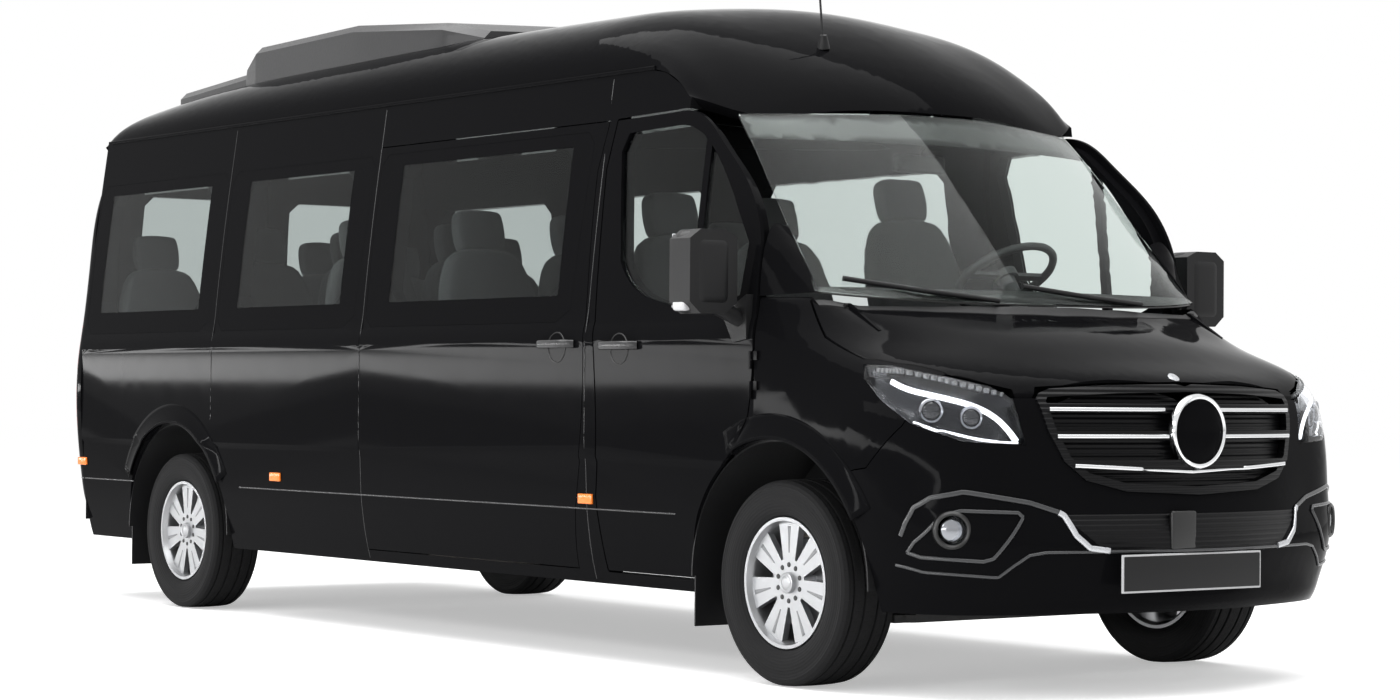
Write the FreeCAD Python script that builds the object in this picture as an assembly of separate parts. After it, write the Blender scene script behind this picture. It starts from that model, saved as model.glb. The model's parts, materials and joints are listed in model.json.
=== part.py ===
import FreeCAD, Part
import math
import os

from FreeCAD import Vector

os.makedirs("parts", exist_ok=True)

# Driving sizes of the vehicle
WHEELBASE = 4325.0
FRONT_OVERHANG = 1000.0
REAR_OVERHANG = 1105.0
DOOR_HALF_WIDTH = 1000.0
LIP_HEIGHT = 1000.0
TYRE_RADIUS = 343.0
TYRE_WIDTH = 225.0
WHEEL_TRACK = 1710.0

FRONT_AXLE_X = (REAR_OVERHANG + WHEELBASE - FRONT_OVERHANG) / 2
REAR_AXLE_X = FRONT_AXLE_X - WHEELBASE
REAR_END_X = REAR_AXLE_X - REAR_OVERHANG

# Walls, gaps and the overrun of a cut
SIDE_WALL = 60.0
SKIN_WALL = 35.0
ROOF_WALL = 45.0
ROOF_SEAM = 2.0
DOOR_SKIN = 14.0
DOOR_GAP = 7.0
SEAM_GAP = 4.0
GLASS_WALL = 5.0
GLASS_GAP = 1.0
SEAT_GAP = 0.5
OVERRUN = 200.0
GRID_COLUMNS = 19
NOSE_COLUMNS = 21

# Heights of the body, as shares of the bonnet lip's height
SILL_SHARE = 0.285
FLOOR_SHARE = 0.70
BELT_SHARE = 1.222
CREASE_SHARE = 1.952
GUTTER_SHARE = 2.13

# The side of the body, as half width and height shares
SIDE_LOWER_SHARES = [(0.945, SILL_SHARE), (0.962, 0.345), (0.982, 0.45), (0.995, 0.55)]
SIDE_PANEL_SHARES = [(0.995, 0.55), (1.002, 0.722)]
SIDE_MOULDING_SHARES = [(1.002, 0.722), (1.010, 0.742)]
SIDE_WAIST_SHARES = [(1.010, 0.742), (1.010, 1.13)]
SIDE_SHOULDER_SHARES = [(1.010, 1.13), (1.007, 1.19), (0.997, BELT_SHARE)]
SIDE_WINDOW_SHARES = [(0.997, BELT_SHARE), (0.957, 1.60), (0.910, CREASE_SHARE)]
SIDE_UPPER_SHARES = [(0.910, CREASE_SHARE), (0.885, GUTTER_SHARE)]
SIDE_RUN_SHARES = [
    SIDE_LOWER_SHARES,
    SIDE_PANEL_SHARES,
    SIDE_MOULDING_SHARES,
    SIDE_WAIST_SHARES,
    SIDE_SHOULDER_SHARES,
    SIDE_WINDOW_SHARES,
    SIDE_UPPER_SHARES,
]


# Points, wires and prisms
def at(x_share, y_share, z_share):
    return Vector(
        FRONT_AXLE_X + x_share * FRONT_OVERHANG,
        y_share * DOOR_HALF_WIDTH,
        z_share * LIP_HEIGHT,
    )


def run_edge(points):
    if len(points) == 2:
        return Part.LineSegment(points[0], points[1]).toShape()
    curve = Part.BSplineCurve()
    curve.interpolate(points)
    return curve.toShape()


def run_wire(runs):
    return Part.Wire([run_edge(run) for run in runs])


def ring(points):
    return Part.Wire(Part.makePolygon(points + [points[0]]))


def save(name, *solids):
    shape = solids[0] if len(solids) == 1 else Part.makeCompound(list(solids))
    shape.exportStep("parts/" + name + ".step")


def mirrored(shape):
    return shape.mirror(Vector(0, 0, 0), Vector(0, 1, 0))


def block(x0, x1, y0, y1, z0, z1):
    return Part.makeBox(x1 - x0, y1 - y0, z1 - z0, Vector(x0, y0, z0))


def rod(start, end, radius):
    return Part.makeCylinder(radius, (end - start).Length, start, end - start)


def fused(shapes):
    whole = shapes[0].multiFuse(shapes[1:]) if len(shapes) > 1 else shapes[0]
    return whole.removeSplitter()


def largest(shape):
    return max(shape.Solids, key=lambda solid: solid.Volume)


def across(wire, y0, y1):
    face = Part.Face(wire)
    face.translate(Vector(0, y0, 0))
    return face.extrude(Vector(0, y1 - y0, 0))


def side_wire(shares):
    return ring([at(x, 0, z) for x, z in shares])


def side_runs_wire(runs):
    return run_wire([[at(x, 0, z) for x, z in run] for run in runs])


def grown(wire, distance):
    outline = wire.makeOffset2D(distance, 0)
    corners = [vertex.Point for vertex in outline.OrderedVertexes]
    runs = []
    for index, edge in enumerate(outline.OrderedEdges):
        start, end = corners[index], corners[(index + 1) % len(corners)]
        points = edge.discretize(GRID_COLUMNS)
        if (points[0] - start).Length > (points[-1] - start).Length:
            points.reverse()
        inner = points[1:-1]
        if isinstance(edge.Curve, Part.Line) or edge.Length < DOOR_SKIN:
            inner = []
        runs.append([start] + inner + [end])
    return run_wire(runs)


def side_prism(wire):
    return across(wire, DOOR_HALF_WIDTH / 2, DOOR_HALF_WIDTH + OVERRUN)


# The side wall, drawn on the left and mirrored to the right
def side_slab(x0, x1, outer_inset, inner_inset):
    def edges(inset):
        return [
            run_edge([Vector(x0, y * DOOR_HALF_WIDTH - inset, z * LIP_HEIGHT) for y, z in run])
            for run in SIDE_RUN_SHARES
        ]

    outer = edges(outer_inset)
    inner = edges(inner_inset)
    foot = Part.LineSegment(outer[0].firstVertex().Point, inner[0].firstVertex().Point).toShape()
    head = Part.LineSegment(outer[-1].lastVertex().Point, inner[-1].lastVertex().Point).toShape()
    wire = Part.Wire(Part.__sortEdges__(outer + inner + [foot, head]))
    return Part.Face(wire).extrude(Vector(x1 - x0, 0, 0))


def side_half_width(height):
    low_y, low_z = SIDE_LOWER_SHARES[0]
    for run in SIDE_RUN_SHARES:
        for y_share, z_share in run:
            if height <= z_share * LIP_HEIGHT:
                span = (z_share - low_z) * LIP_HEIGHT
                step = (height - low_z * LIP_HEIGHT) / span if span > 0 else 0
                return (low_y + (y_share - low_y) * step) * DOOR_HALF_WIDTH
            low_y, low_z = y_share, z_share
    return low_y * DOOR_HALF_WIDTH


# Curved panels from a grid of points, thickened towards the middle of the cab
INSIDE = at(-.5, 0, 1.0)


def skin(grid):
    surface = Part.BSplineSurface()
    surface.interpolate(grid)
    return surface


def evened(points, count):
    curve = Part.BSplineCurve()
    curve.interpolate(points)
    return curve.discretize(Number=count)


def offset_grid(surface, grid, distance):
    rows = []
    for row in grid:
        moved = []
        for point in row:
            u, v = surface.parameter(point)
            moved.append(point + surface.normal(u, v) * distance)
        rows.append(moved)
    return rows


def panel(grid, wall, inset=0.0):
    middle = grid[len(grid) // 2][len(grid[0]) // 2]
    outer = skin(grid)
    u, v = outer.parameter(middle)
    inward = 1 if outer.normal(u, v).dot(INSIDE - middle) > 0 else -1
    if inset:
        grid = offset_grid(outer, grid, inward * inset)
        outer = skin(grid)
    inner = skin(offset_grid(outer, grid, inward * wall))
    u0, u1, v0, v1 = outer.bounds()
    faces = [outer.toShape(), inner.toShape()]
    rims = [(outer.uIso(u0), inner.uIso(u0)), (outer.uIso(u1), inner.uIso(u1))]
    rims += [(outer.vIso(v0), inner.vIso(v0)), (outer.vIso(v1), inner.vIso(v1))]
    for near, far in rims:
        faces.append(Part.makeRuledSurface(near.toShape(), far.toShape()))
    shell = Part.makeShell(faces)
    shell.sewShape()
    solid = Part.makeSolid(shell)
    if solid.Volume < 0:
        solid.reverse()
    return solid


def full_width_rows(rows, count):
    grid = []
    for row in rows:
        right = [at(x, -y, z) for x, y, z in row]
        left = [at(x, y, z) for x, y, z in reversed(row[:-1])]
        grid.append(evened(right + left, 2 * count + 1))
    return grid


# The nose, from the sill to the foot of the windscreen, in rows of equal height
NOSE_ROW_SHARES = [
    (0.275, [(-.60, .943), (-.10, .943), (.25, .943), (.45, .93), (.60, .89), (.71, .81), (.80, .66), (.875, .42), (.925, .2), (.94, 0)]),
    (0.35, [(-.60, .963), (-.10, .963), (.25, .965), (.45, .955), (.62, .91), (.73, .83), (.83, .67), (.913, .42), (.962, .2), (.9806, 0)]),
    (0.45, [(-.60, .982), (-.10, .982), (.25, .985), (.46, .978), (.64, .935), (.75, .85), (.85, .67), (.932, .42), (.981, .2), (.9955, 0)]),
    (0.55, [(-.60, .995), (-.10, .995), (.25, .998), (.46, .992), (.64, .945), (.75, .86), (.85, .67), (.932, .42), (.98, .2), (.995, 0)]),
    (0.65, [(-.60, .999), (-.10, 1.0), (.25, 1.003), (.46, .997), (.63, .95), (.735, .865), (.825, .67), (.905, .42), (.948, .2), (.962, 0)]),
    (0.75, [(-.60, 1.009), (-.10, 1.009), (.25, 1.008), (.46, 1.0), (.62, .955), (.725, .87), (.815, .67), (.893, .42), (.937, .2), (.95, 0)]),
    (0.85, [(-.60, 1.01), (-.10, 1.01), (.25, 1.007), (.46, .998), (.61, .955), (.715, .865), (.80, .67), (.88, .42), (.927, .2), (.94, 0)]),
    (0.95, [(-.60, 1.01), (-.10, 1.009), (.24, 1.002), (.44, .987), (.59, .94), (.69, .855), (.775, .67), (.855, .42), (.90, .2), (.915, 0)]),
    (1.00, [(-.60, 1.01), (-.10, 1.008), (.22, .997), (.42, .972), (.56, .93), (.66, .845), (.745, .66), (.825, .42), (.872, .2), (.888, 0)]),
    (1.07, [(-.60, 1.01), (-.10, 1.007), (.15, .99), (.36, .95), (.48, .90), (.57, .81), (.645, .63), (.70, .41), (.735, .2), (.745, 0)]),
    (1.13, [(-.60, 1.01), (-.10, 1.005), (.07, .988), (.22, .945), (.34, .87), (.425, .77), (.505, .60), (.565, .40), (.595, .2), (.605, 0)]),
    (1.19, [(-.60, 1.006), (-.10, 1.0), (.0, .985), (.10, .95), (.19, .89), (.27, .80), (.345, .62), (.405, .41), (.44, .2), (.45, 0)]),
    (1.25, [(-.60, .993), (-.11, .988), (.0, .963), (.07, .923), (.12, .87), (.165, .77), (.215, .60), (.26, .40), (.29, .2), (.30, 0)]),
    (1.29, [(-.60, .989), (-.12, .984), (-.03, .95), (.03, .91), (.07, .865), (.10, .75), (.135, .58), (.165, .39), (.19, .2), (.20, 0)]),
]


def nose_grid():
    rows = [[(x, y, z) for x, y in row] for z, row in NOSE_ROW_SHARES]
    return full_width_rows(rows, NOSE_COLUMNS)


# The roof, in rows from the rear lip to the top of the windscreen
ROOF_ROW_SHARES = [
    [(-5.285, .885, 2.105), (-5.31, .84, 2.12), (-5.325, .75, 2.13), (-5.335, .45, 2.14), (-5.34, 0, 2.145)],
    [(-5.22, .885, 2.115), (-5.235, .855, 2.16), (-5.24, .78, 2.205), (-5.25, .45, 2.26), (-5.255, 0, 2.28)],
    [(-5.05, .885, 2.125), (-5.05, .86, 2.18), (-5.05, .79, 2.235), (-5.05, .45, 2.325), (-5.05, 0, 2.35)],
    [(-4.57, .885, 2.13), (-4.57, .862, 2.20), (-4.57, .80, 2.26), (-4.57, .45, 2.365), (-4.57, 0, 2.395)],
    [(-3.70, .885, 2.13), (-3.70, .864, 2.22), (-3.70, .80, 2.285), (-3.70, .45, 2.405), (-3.70, 0, 2.435)],
    [(-2.40, .885, 2.13), (-2.40, .866, 2.23), (-2.40, .80, 2.30), (-2.40, .45, 2.412), (-2.40, 0, 2.44)],
    [(-1.40, .885, 2.13), (-1.40, .865, 2.225), (-1.40, .80, 2.295), (-1.40, .45, 2.405), (-1.40, 0, 2.435)],
    [(-1.10, .885, 2.13), (-1.09, .863, 2.215), (-1.08, .80, 2.28), (-1.06, .45, 2.38), (-1.05, 0, 2.41)],
    [(-.92, .885, 2.125), (-.90, .862, 2.19), (-.88, .80, 2.235), (-.85, .45, 2.315), (-.83, 0, 2.345)],
    [(-.77, .889, 2.10), (-.75, .862, 2.135), (-.72, .80, 2.155), (-.66, .45, 2.215), (-.63, 0, 2.245)],
    [(-.67, .896, 2.05), (-.64, .858, 2.06), (-.60, .79, 2.055), (-.51, .45, 2.10), (-.46, 0, 2.125)],
    [(-.61, .903, 2.003), (-.565, .852, 1.983), (-.509, .769, 1.953), (-.40, .42, 1.965), (-.335, 0, 1.975)],
]

# The windscreen, in rows from the scuttle to the roof
WINDSCREEN_ROW_SHARES = [
    [(.068, .880, 1.312), (.135, .75, 1.300), (.205, .50, 1.288), (.25, .25, 1.283), (.265, 0, 1.282)],
    [(-.075, .852, 1.470), (-.01, .72, 1.470), (.065, .48, 1.470), (.11, .24, 1.470), (.125, 0, 1.470)],
    [(-.23, .823, 1.650), (-.165, .69, 1.650), (-.09, .46, 1.650), (-.04, .23, 1.650), (-.025, 0, 1.650)],
    [(-.375, .795, 1.815), (-.31, .66, 1.815), (-.24, .43, 1.815), (-.19, .21, 1.815), (-.175, 0, 1.815)],
    [(-.500, .770, 1.943), (-.45, .62, 1.948), (-.385, .42, 1.955), (-.34, .21, 1.962), (-.325, 0, 1.964)],
]

# The left pillar beside the windscreen, in flat rows from its foot to the roof:
# the heights at its outer and inner edges, then the places from outside to inside
PILLAR_ROW_SHARES = [
    ((1.294, 1.306), [(-.20, .988), (-.10, .986), (-.03, .952), (.03, .912), (.076, .872)]),
    ((1.45, 1.455), [(-.21, .975), (-.105, .972), (-.08, .945), (-.06, .905), (-.053, .857)]),
    ((1.65, 1.655), [(-.29, .950), (-.185, .948), (-.18, .92), (-.195, .875), (-.226, .828)]),
    ((1.83, 1.828), [(-.47, .927), (-.375, .924), (-.36, .89), (-.365, .84), (-.383, .798)]),
    ((2.006, 1.958), [(-.71, .903), (-.63, .903), (-.59, .873), (-.555, .828), (-.517, .773)]),
]

# Outlines seen from the side, as shares of the front overhang and the lip height
FRONT_DOOR_RUN_SHARES = [
    [(-1.03, 1.945), (-.66, 1.953)],
    [(-.66, 1.953), (-.49, 1.915), (-.38, 1.828), (-.19, 1.652), (-.12, 1.518), (-.105, 1.40)],
    [(-.105, 1.40), (-.103, 1.19), (-.11, 1.016), (-.13, .895)],
    [(-.13, .895), (-.20, .80), (-.32, .66), (-.40, .53), (-.445, .40), (-.455, .335)],
    [(-.455, .335), (-1.00, .335)],
    [(-1.00, .335), (-1.03, .60)],
    [(-1.03, .60), (-1.015, .87), (-1.04, 1.20), (-1.055, 1.50), (-1.065, 1.77)],
    [(-1.065, 1.77), (-1.03, 1.945)],
]
DOOR_WINDOW_RUN_SHARES = [
    [(-.95, 1.895), (-.63, 1.904)],
    [(-.63, 1.904), (-.50, 1.862), (-.40, 1.78), (-.26, 1.60), (-.175, 1.475)],
    [(-.175, 1.475), (-.20, 1.30)],
    [(-.20, 1.30), (-.40, 1.255), (-.61, 1.277), (-.84, 1.35), (-.92, 1.437)],
    [(-.92, 1.437), (-.985, 1.83)],
    [(-.985, 1.83), (-.95, 1.895)],
]
DIVIDER_REAR_SHARE = -0.485
DIVIDER_FRONT_SHARE = -0.45
SLIDING_DOOR_RUN_SHARES = [
    [(-1.085, 1.945), (-1.125, 1.77)],
    [(-1.125, 1.77), (-1.115, 1.40), (-1.105, 1.03), (-1.12, .80), (-1.16, .58), (-1.19, .335)],
    [(-1.19, .335), (-2.69, .335)],
    [(-2.69, .335), (-2.69, 1.945)],
    [(-2.69, 1.945), (-1.085, 1.945)],
]
WINDOW_TOP_SHARE = 1.915
PANE_SPAN_SHARES = [(-2.67, -1.165), (-3.935, -2.72), (-5.23, -3.975)]
OPENING_SPAN_SHARES = [(-2.50, -1.30), (-3.77, -2.89), (-5.11, -4.13)]
OPENING_LOW_SHARE = 1.32
OPENING_HIGH_SHARE = 1.865
BONNET_EDGE_SHARES = [
    (.00, .86), (.07, .895), (.19, .93), (.38, .925), (.50, .885), (.655, .79),
    (.77, .65), (.80, .56), (.83, .28), (.89, 0),
]

# Wheels
RIM_RADIUS = 218.0
RIM_FLANGE_RADIUS = 222.0
RIM_WIDTH = 190.0
RIM_WALL = 12.0
SPOKES = 7
HUB_RADIUS = 82.0
CAP_RADIUS = 34.0
SPOKE_SHARE = 0.62
DISC_RADIUS = 150.0
DISC_WIDTH = 26.0
WHEEL_FACE_INSET = 20.0
KINGPIN_Y = 760.0
ARCH_RADIUS = 475.0
LINER_RADIUS = 446.0
LINER_WALL = 6.0
HALF_TRACK = WHEEL_TRACK / 2


def arch_cutter(axle_x):
    start = Vector(axle_x, DOOR_HALF_WIDTH / 3, TYRE_RADIUS)
    length = DOOR_HALF_WIDTH + OVERRUN - start.y
    round_part = Part.makeCylinder(ARCH_RADIUS, length, start, Vector(0, 1, 0))
    foot = block(axle_x - ARCH_RADIUS, axle_x + ARCH_RADIUS, start.y, start.y + length, 0, TYRE_RADIUS)
    return round_part.fuse(foot)


def tyre(side, axle_x):
    half = TYRE_WIDTH / 2
    bead = RIM_RADIUS
    crown = TYRE_RADIUS
    shoulder_share = 0.80
    bulge_share = 1.0
    bead_share = 0.80
    wall = (crown - bead) / 2
    points = [
        (bead, -half * bead_share), (bead + wall, -half * bulge_share),
        (crown - wall / 4, -half * 0.96), (crown, -half * shoulder_share),
        (crown, half * shoulder_share), (crown - wall / 4, half * 0.96),
        (bead + wall, half * bulge_share), (bead, half * bead_share),
    ]
    profile = ring([Vector(0, y, r) for r, y in points])
    solid = Part.Face(profile).revolve(Vector(0, 0, 0), Vector(0, 1, 0), 360)
    solid.translate(Vector(axle_x, side * HALF_TRACK, TYRE_RADIUS))
    return solid


def rim(side, axle_x):
    half = RIM_WIDTH / 2
    face_y = half - WHEEL_FACE_INSET
    barrel_points = [
        (RIM_RADIUS - SEAT_GAP, -half), (RIM_RADIUS - SEAT_GAP, half),
        (RIM_RADIUS - RIM_WALL, half), (RIM_RADIUS - 2 * RIM_WALL, face_y - RIM_WALL),
        (RIM_RADIUS - 2 * RIM_WALL, -half + RIM_WALL), (RIM_RADIUS - RIM_WALL, -half),
    ]
    barrel = Part.Face(ring([Vector(0, y, r) for r, y in barrel_points]))
    barrel = barrel.revolve(Vector(0, 0, 0), Vector(0, 1, 0), 360)
    hub = Part.makeCylinder(HUB_RADIUS, face_y, Vector(0, 0, 0), Vector(0, 1, 0))
    cap = Part.makeCylinder(CAP_RADIUS, face_y + RIM_WALL, Vector(0, 0, 0), Vector(0, 1, 0))
    disc = Part.makeCylinder(DISC_RADIUS, DISC_WIDTH, Vector(0, 0, 0), Vector(0, 1, 0))
    spokes = []
    half_angle = math.pi / SPOKES * SPOKE_SHARE
    reach = RIM_RADIUS - RIM_WALL - RIM_WALL / 2
    for index in range(SPOKES):
        turn = 2 * math.pi * index / SPOKES
        root = HUB_RADIUS * math.sin(half_angle)
        tip = reach * math.sin(half_angle)
        corners = [
            Vector(-root, face_y - 2 * RIM_WALL, CAP_RADIUS), Vector(root, face_y - 2 * RIM_WALL, CAP_RADIUS),
            Vector(tip, face_y - 2 * RIM_WALL, reach), Vector(-tip, face_y - 2 * RIM_WALL, reach),
        ]
        spoke = Part.Face(ring(corners)).extrude(Vector(0, 2 * RIM_WALL, 0))
        spoke.rotate(Vector(0, 0, 0), Vector(0, 1, 0), math.degrees(turn))
        spokes.append(spoke)
    solid = fused([barrel, hub, cap, disc] + spokes)
    if side < 0:
        solid = mirrored(solid)
    solid.translate(Vector(axle_x, side * HALF_TRACK, TYRE_RADIUS))
    return solid


# The front suspension and the steered knuckles
KNUCKLE_LOW = 232.0
KNUCKLE_HIGH = 466.0
KNUCKLE_RADIUS = 30.0
ARM_THICK = 26.0
ARM_GAP = 0.3
STUB_RADIUS = 26.0
CALIPER_SIZE = 60.0
CROSSBEAM_Y = 520.0
CROSSBEAM_WIDTH = 130.0
CROSSBEAM_DEPTH = 90.0
ARM_SPREAD = 150.0
ARM_ROOT_WIDTH = 36.0


def knuckle():
    foot = Vector(FRONT_AXLE_X, KINGPIN_Y, KNUCKLE_LOW)
    head = Vector(FRONT_AXLE_X, KINGPIN_Y, KNUCKLE_HIGH)
    post = rod(foot, head, KNUCKLE_RADIUS)
    centre = Vector(FRONT_AXLE_X, KINGPIN_Y, TYRE_RADIUS)
    stub_end = Vector(FRONT_AXLE_X, HALF_TRACK - SEAT_GAP, TYRE_RADIUS)
    stub = rod(centre, stub_end, STUB_RADIUS)
    caliper_x = FRONT_AXLE_X - DISC_RADIUS
    bracket = block(
        caliper_x - CALIPER_SIZE / 3, FRONT_AXLE_X, KINGPIN_Y - STUB_RADIUS / 2, KINGPIN_Y + STUB_RADIUS / 2,
        TYRE_RADIUS - STUB_RADIUS, TYRE_RADIUS + STUB_RADIUS,
    )
    return fused([post, stub, bracket])


def wishbone(z_low, hole_y, root_y):
    eye = Part.makeCylinder(KNUCKLE_RADIUS, ARM_THICK, Vector(FRONT_AXLE_X, hole_y, z_low))
    legs = []
    for end in (-1, 1):
        root_x = FRONT_AXLE_X + end * ARM_SPREAD
        half = ARM_ROOT_WIDTH / 2
        corners = [
            Vector(FRONT_AXLE_X - half, hole_y, z_low), Vector(FRONT_AXLE_X + half, hole_y, z_low),
            Vector(root_x + half, root_y, z_low), Vector(root_x - half, root_y, z_low),
        ]
        legs.append(Part.Face(ring(corners)).extrude(Vector(0, 0, ARM_THICK)))
    return fused([eye] + legs)


# Chassis rails under the floor
RAIL_Y = 445.0
RAIL_WIDTH = 90.0
RAIL_DEPTH = 140.0
FLOOR_WALL = 40.0
RAIL_WALL = 8.0
CROSSMEMBER_SHARES = [-5.05, -3.45, -2.45, -1.35, -.45, .62]
CROSSMEMBER_WIDTH = 80.0

FLOOR_TOP = FLOOR_SHARE * LIP_HEIGHT
FLOOR_LOW = FLOOR_TOP - FLOOR_WALL
RAIL_LOW = FLOOR_LOW - RAIL_DEPTH
BODY_REAR_SHARE = -5.34
BODY_REAR_X = at(BODY_REAR_SHARE, 0, 0).x
RAIL_FRONT_X = at(.70, 0, 0).x
RAIL_REAR_X = at(-5.22, 0, 0).x
SIDE_FRONT_X = at(-.60, 0, 0).x
JACK_PAD_SHARES = [-1.0, -3.45]
JACK_PAD_HALF = 30.0
JACK_PAD_DEPTH = 12.0



def chassis_rails():
    pieces = []
    for side in (-1, 1):
        y0 = side * RAIL_Y - RAIL_WIDTH / 2
        pieces.append(block(RAIL_REAR_X, RAIL_FRONT_X, y0, y0 + RAIL_WIDTH, RAIL_LOW, FLOOR_LOW))
        y0, y1 = sorted((side * (RAIL_Y - RAIL_WIDTH / 2), side * (ENGINE_SIZE[1] / 2 + SEAT_GAP)))
        mount_x = at(ENGINE_REAR_SHARE, 0, 0).x + ENGINE_SIZE[0] / 2
        pieces.append(block(
            mount_x - ENGINE_MOUNT_SIZE, mount_x + ENGINE_MOUNT_SIZE, y0, y1,
            RAIL_LOW + RAIL_WALL, RAIL_LOW + RAIL_WALL + ENGINE_MOUNT_SIZE,
        ))
    half = CROSSMEMBER_WIDTH / 2
    for share in CROSSMEMBER_SHARES:
        x = at(share, 0, 0).x
        pieces.append(block(x - half, x + half, -RAIL_Y, RAIL_Y, RAIL_LOW + RAIL_WALL, FLOOR_LOW - RAIL_WALL))
    for side in (-1, 1):
        for share in JACK_PAD_SHARES:
            x = at(share, 0, 0).x
            y = side * RAIL_Y
            pieces.append(block(
                x - JACK_PAD_HALF, x + JACK_PAD_HALF, y - JACK_PAD_HALF, y + JACK_PAD_HALF,
                RAIL_LOW - JACK_PAD_DEPTH, RAIL_LOW,
            ))
    return fused(pieces)


# Body sides with their openings and glazing
PANE_WALL = 5.0
SCREEN_GAP = 1.0
PANE_SEAT = 6.0
OUTSIDE = -50.0
ARCH_DOOR_GAP = 9.0


def pane_outline(span):
    rear, front = span
    lean = 0.045
    return side_wire([
        (rear, BELT_SHARE + lean), (rear + lean, BELT_SHARE), (front - 3 * lean, BELT_SHARE),
        (front - lean, BELT_SHARE + lean), (front, WINDOW_TOP_SHARE - lean),
        (front - lean, WINDOW_TOP_SHARE), (rear + lean, WINDOW_TOP_SHARE), (rear, WINDOW_TOP_SHARE - lean),
    ])


def opening_outline(span):
    rear, front = span
    nick = 0.05
    low, high = OPENING_LOW_SHARE, OPENING_HIGH_SHARE
    return side_wire([
        (rear, low + nick), (rear + nick, low), (front - nick, low), (front, low + nick),
        (front, high - nick), (front - nick, high), (rear + nick, high), (rear, high - nick),
    ])


def cut_all(shape, tools):
    for tool in tools:
        shape = shape.cut(tool)
    return shape


def window_cutters(index):
    seat = side_slab(REAR_END_X, FRONT_AXLE_X, OUTSIDE, PANE_SEAT)
    seat = seat.common(side_prism(pane_outline(PANE_SPAN_SHARES[index])))
    return [seat, side_prism(opening_outline(OPENING_SPAN_SHARES[index]))]


def side_pane(index):
    slab = side_slab(REAR_END_X, FRONT_AXLE_X, SEAT_GAP, SEAT_GAP + PANE_WALL)
    outline = grown(pane_outline(PANE_SPAN_SHARES[index]), -GLASS_GAP)
    return slab.common(side_prism(outline))


DOOR_WIRE = side_runs_wire(FRONT_DOOR_RUN_SHARES)
SLIDING_WIRE = side_runs_wire(SLIDING_DOOR_RUN_SHARES)
HOOD_SHARES = [(-1.20, 2.13), (-.92, 2.125), (-.77, 2.10), (-.67, 2.05), (-.60, 1.995), (-.40, 1.90), (-.30, 2.30), (-1.2, 2.30)]
SLAB_FRONT_X = at(-.465, 0, 0).x
REAR_CORNER_X = at(-5.25, 0, 0).x
# Around the roof's low front corner on the left
ROOF_END_SHARES = [(-.72, .82, 1.90), (-.56, .94, 2.10)]



def body_side(with_sliding_door):
    slab = side_slab(REAR_CORNER_X, SLAB_FRONT_X, 0, SIDE_WALL)
    tools = [
        side_prism(grown(DOOR_WIRE, DOOR_GAP)),
        side_prism(side_wire(HOOD_SHARES)),
        block(SIDE_FRONT_X, FRONT_AXLE_X, 0, DOOR_HALF_WIDTH + OVERRUN, LIP_HEIGHT, 3 * LIP_HEIGHT),
        arch_cutter(REAR_AXLE_X),
        arch_cutter(FRONT_AXLE_X),
    ]
    first = 0
    if with_sliding_door:
        tools.append(side_prism(grown(SLIDING_WIRE, SEAM_GAP)))
        first = 1
    for index in range(first, len(PANE_SPAN_SHARES)):
        tools += window_cutters(index)
    roof_room = panel(ROOF_GRID, ROOF_WALL + 2 * ROOF_SEAM, -ROOF_SEAM)
    low, high = (at(*shares) for shares in ROOF_END_SHARES)
    roof_end = ROOF.common(block(low.x, high.x, low.y, high.y, low.z, high.z))
    tools += [roof_room, roof_room.translated(Vector(0, 0, -ROOF_SEAM)), roof_end]
    return largest(cut_all(slab, tools))


def leaf(wire, axle_x=None):
    x0, x1 = wire.BoundBox.XMin - OVERRUN, wire.BoundBox.XMax + OVERRUN
    outer = side_slab(x0, x1, 0, DOOR_SKIN).common(side_prism(wire))
    inner_wire = grown(wire, -2 * DOOR_SKIN)
    inner = side_slab(x0, x1, DOOR_SKIN, SIDE_WALL).common(side_prism(inner_wire))
    solid = outer.fuse(inner)
    if axle_x is not None:
        cutter = arch_cutter(axle_x)
        solid = solid.cut(cutter)
    return solid


DOOR_GLASS_INSET = 12.0
DOOR_HINGE_SHARES = (-.1035, 1.018)
DOOR_HINGE_HEIGHT_SHARES = [.98, 1.08]
DOOR_HINGE_LENGTH = 60.0
DOOR_BARREL_RADIUS = 6.0


def front_door():
    solid = leaf(DOOR_WIRE, FRONT_AXLE_X)
    solid = solid.cut(side_prism(side_runs_wire(DOOR_WINDOW_RUN_SHARES)))
    ears = [door_hinge_leaf(z * LIP_HEIGHT - DOOR_HINGE_LENGTH / 2, -1) for z in DOOR_HINGE_HEIGHT_SHARES]
    return largest(fused([solid, divider_bar()] + ears))


def door_hinge_leaf(low, forward):
    pin = at(DOOR_HINGE_SHARES[0], DOOR_HINGE_SHARES[1], 0)
    pin.z = low
    length = DOOR_HINGE_LENGTH / 2 - SEAT_GAP
    barrel = Part.makeCylinder(DOOR_BARREL_RADIUS, length, pin)
    x0, x1 = sorted((pin.x, pin.x + forward * 5 * DOOR_BARREL_RADIUS))
    skin_y = side_half_width(low)
    plate = block(x0, x1, skin_y - DOOR_SKIN / 2, pin.y - DOOR_BARREL_RADIUS / 2, low, low + length)
    gap = block(pin.x - 2 * DOOR_GAP, pin.x + DOOR_GAP, 0, skin_y, low, low + length)
    return barrel.fuse(plate.cut(gap))


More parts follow.
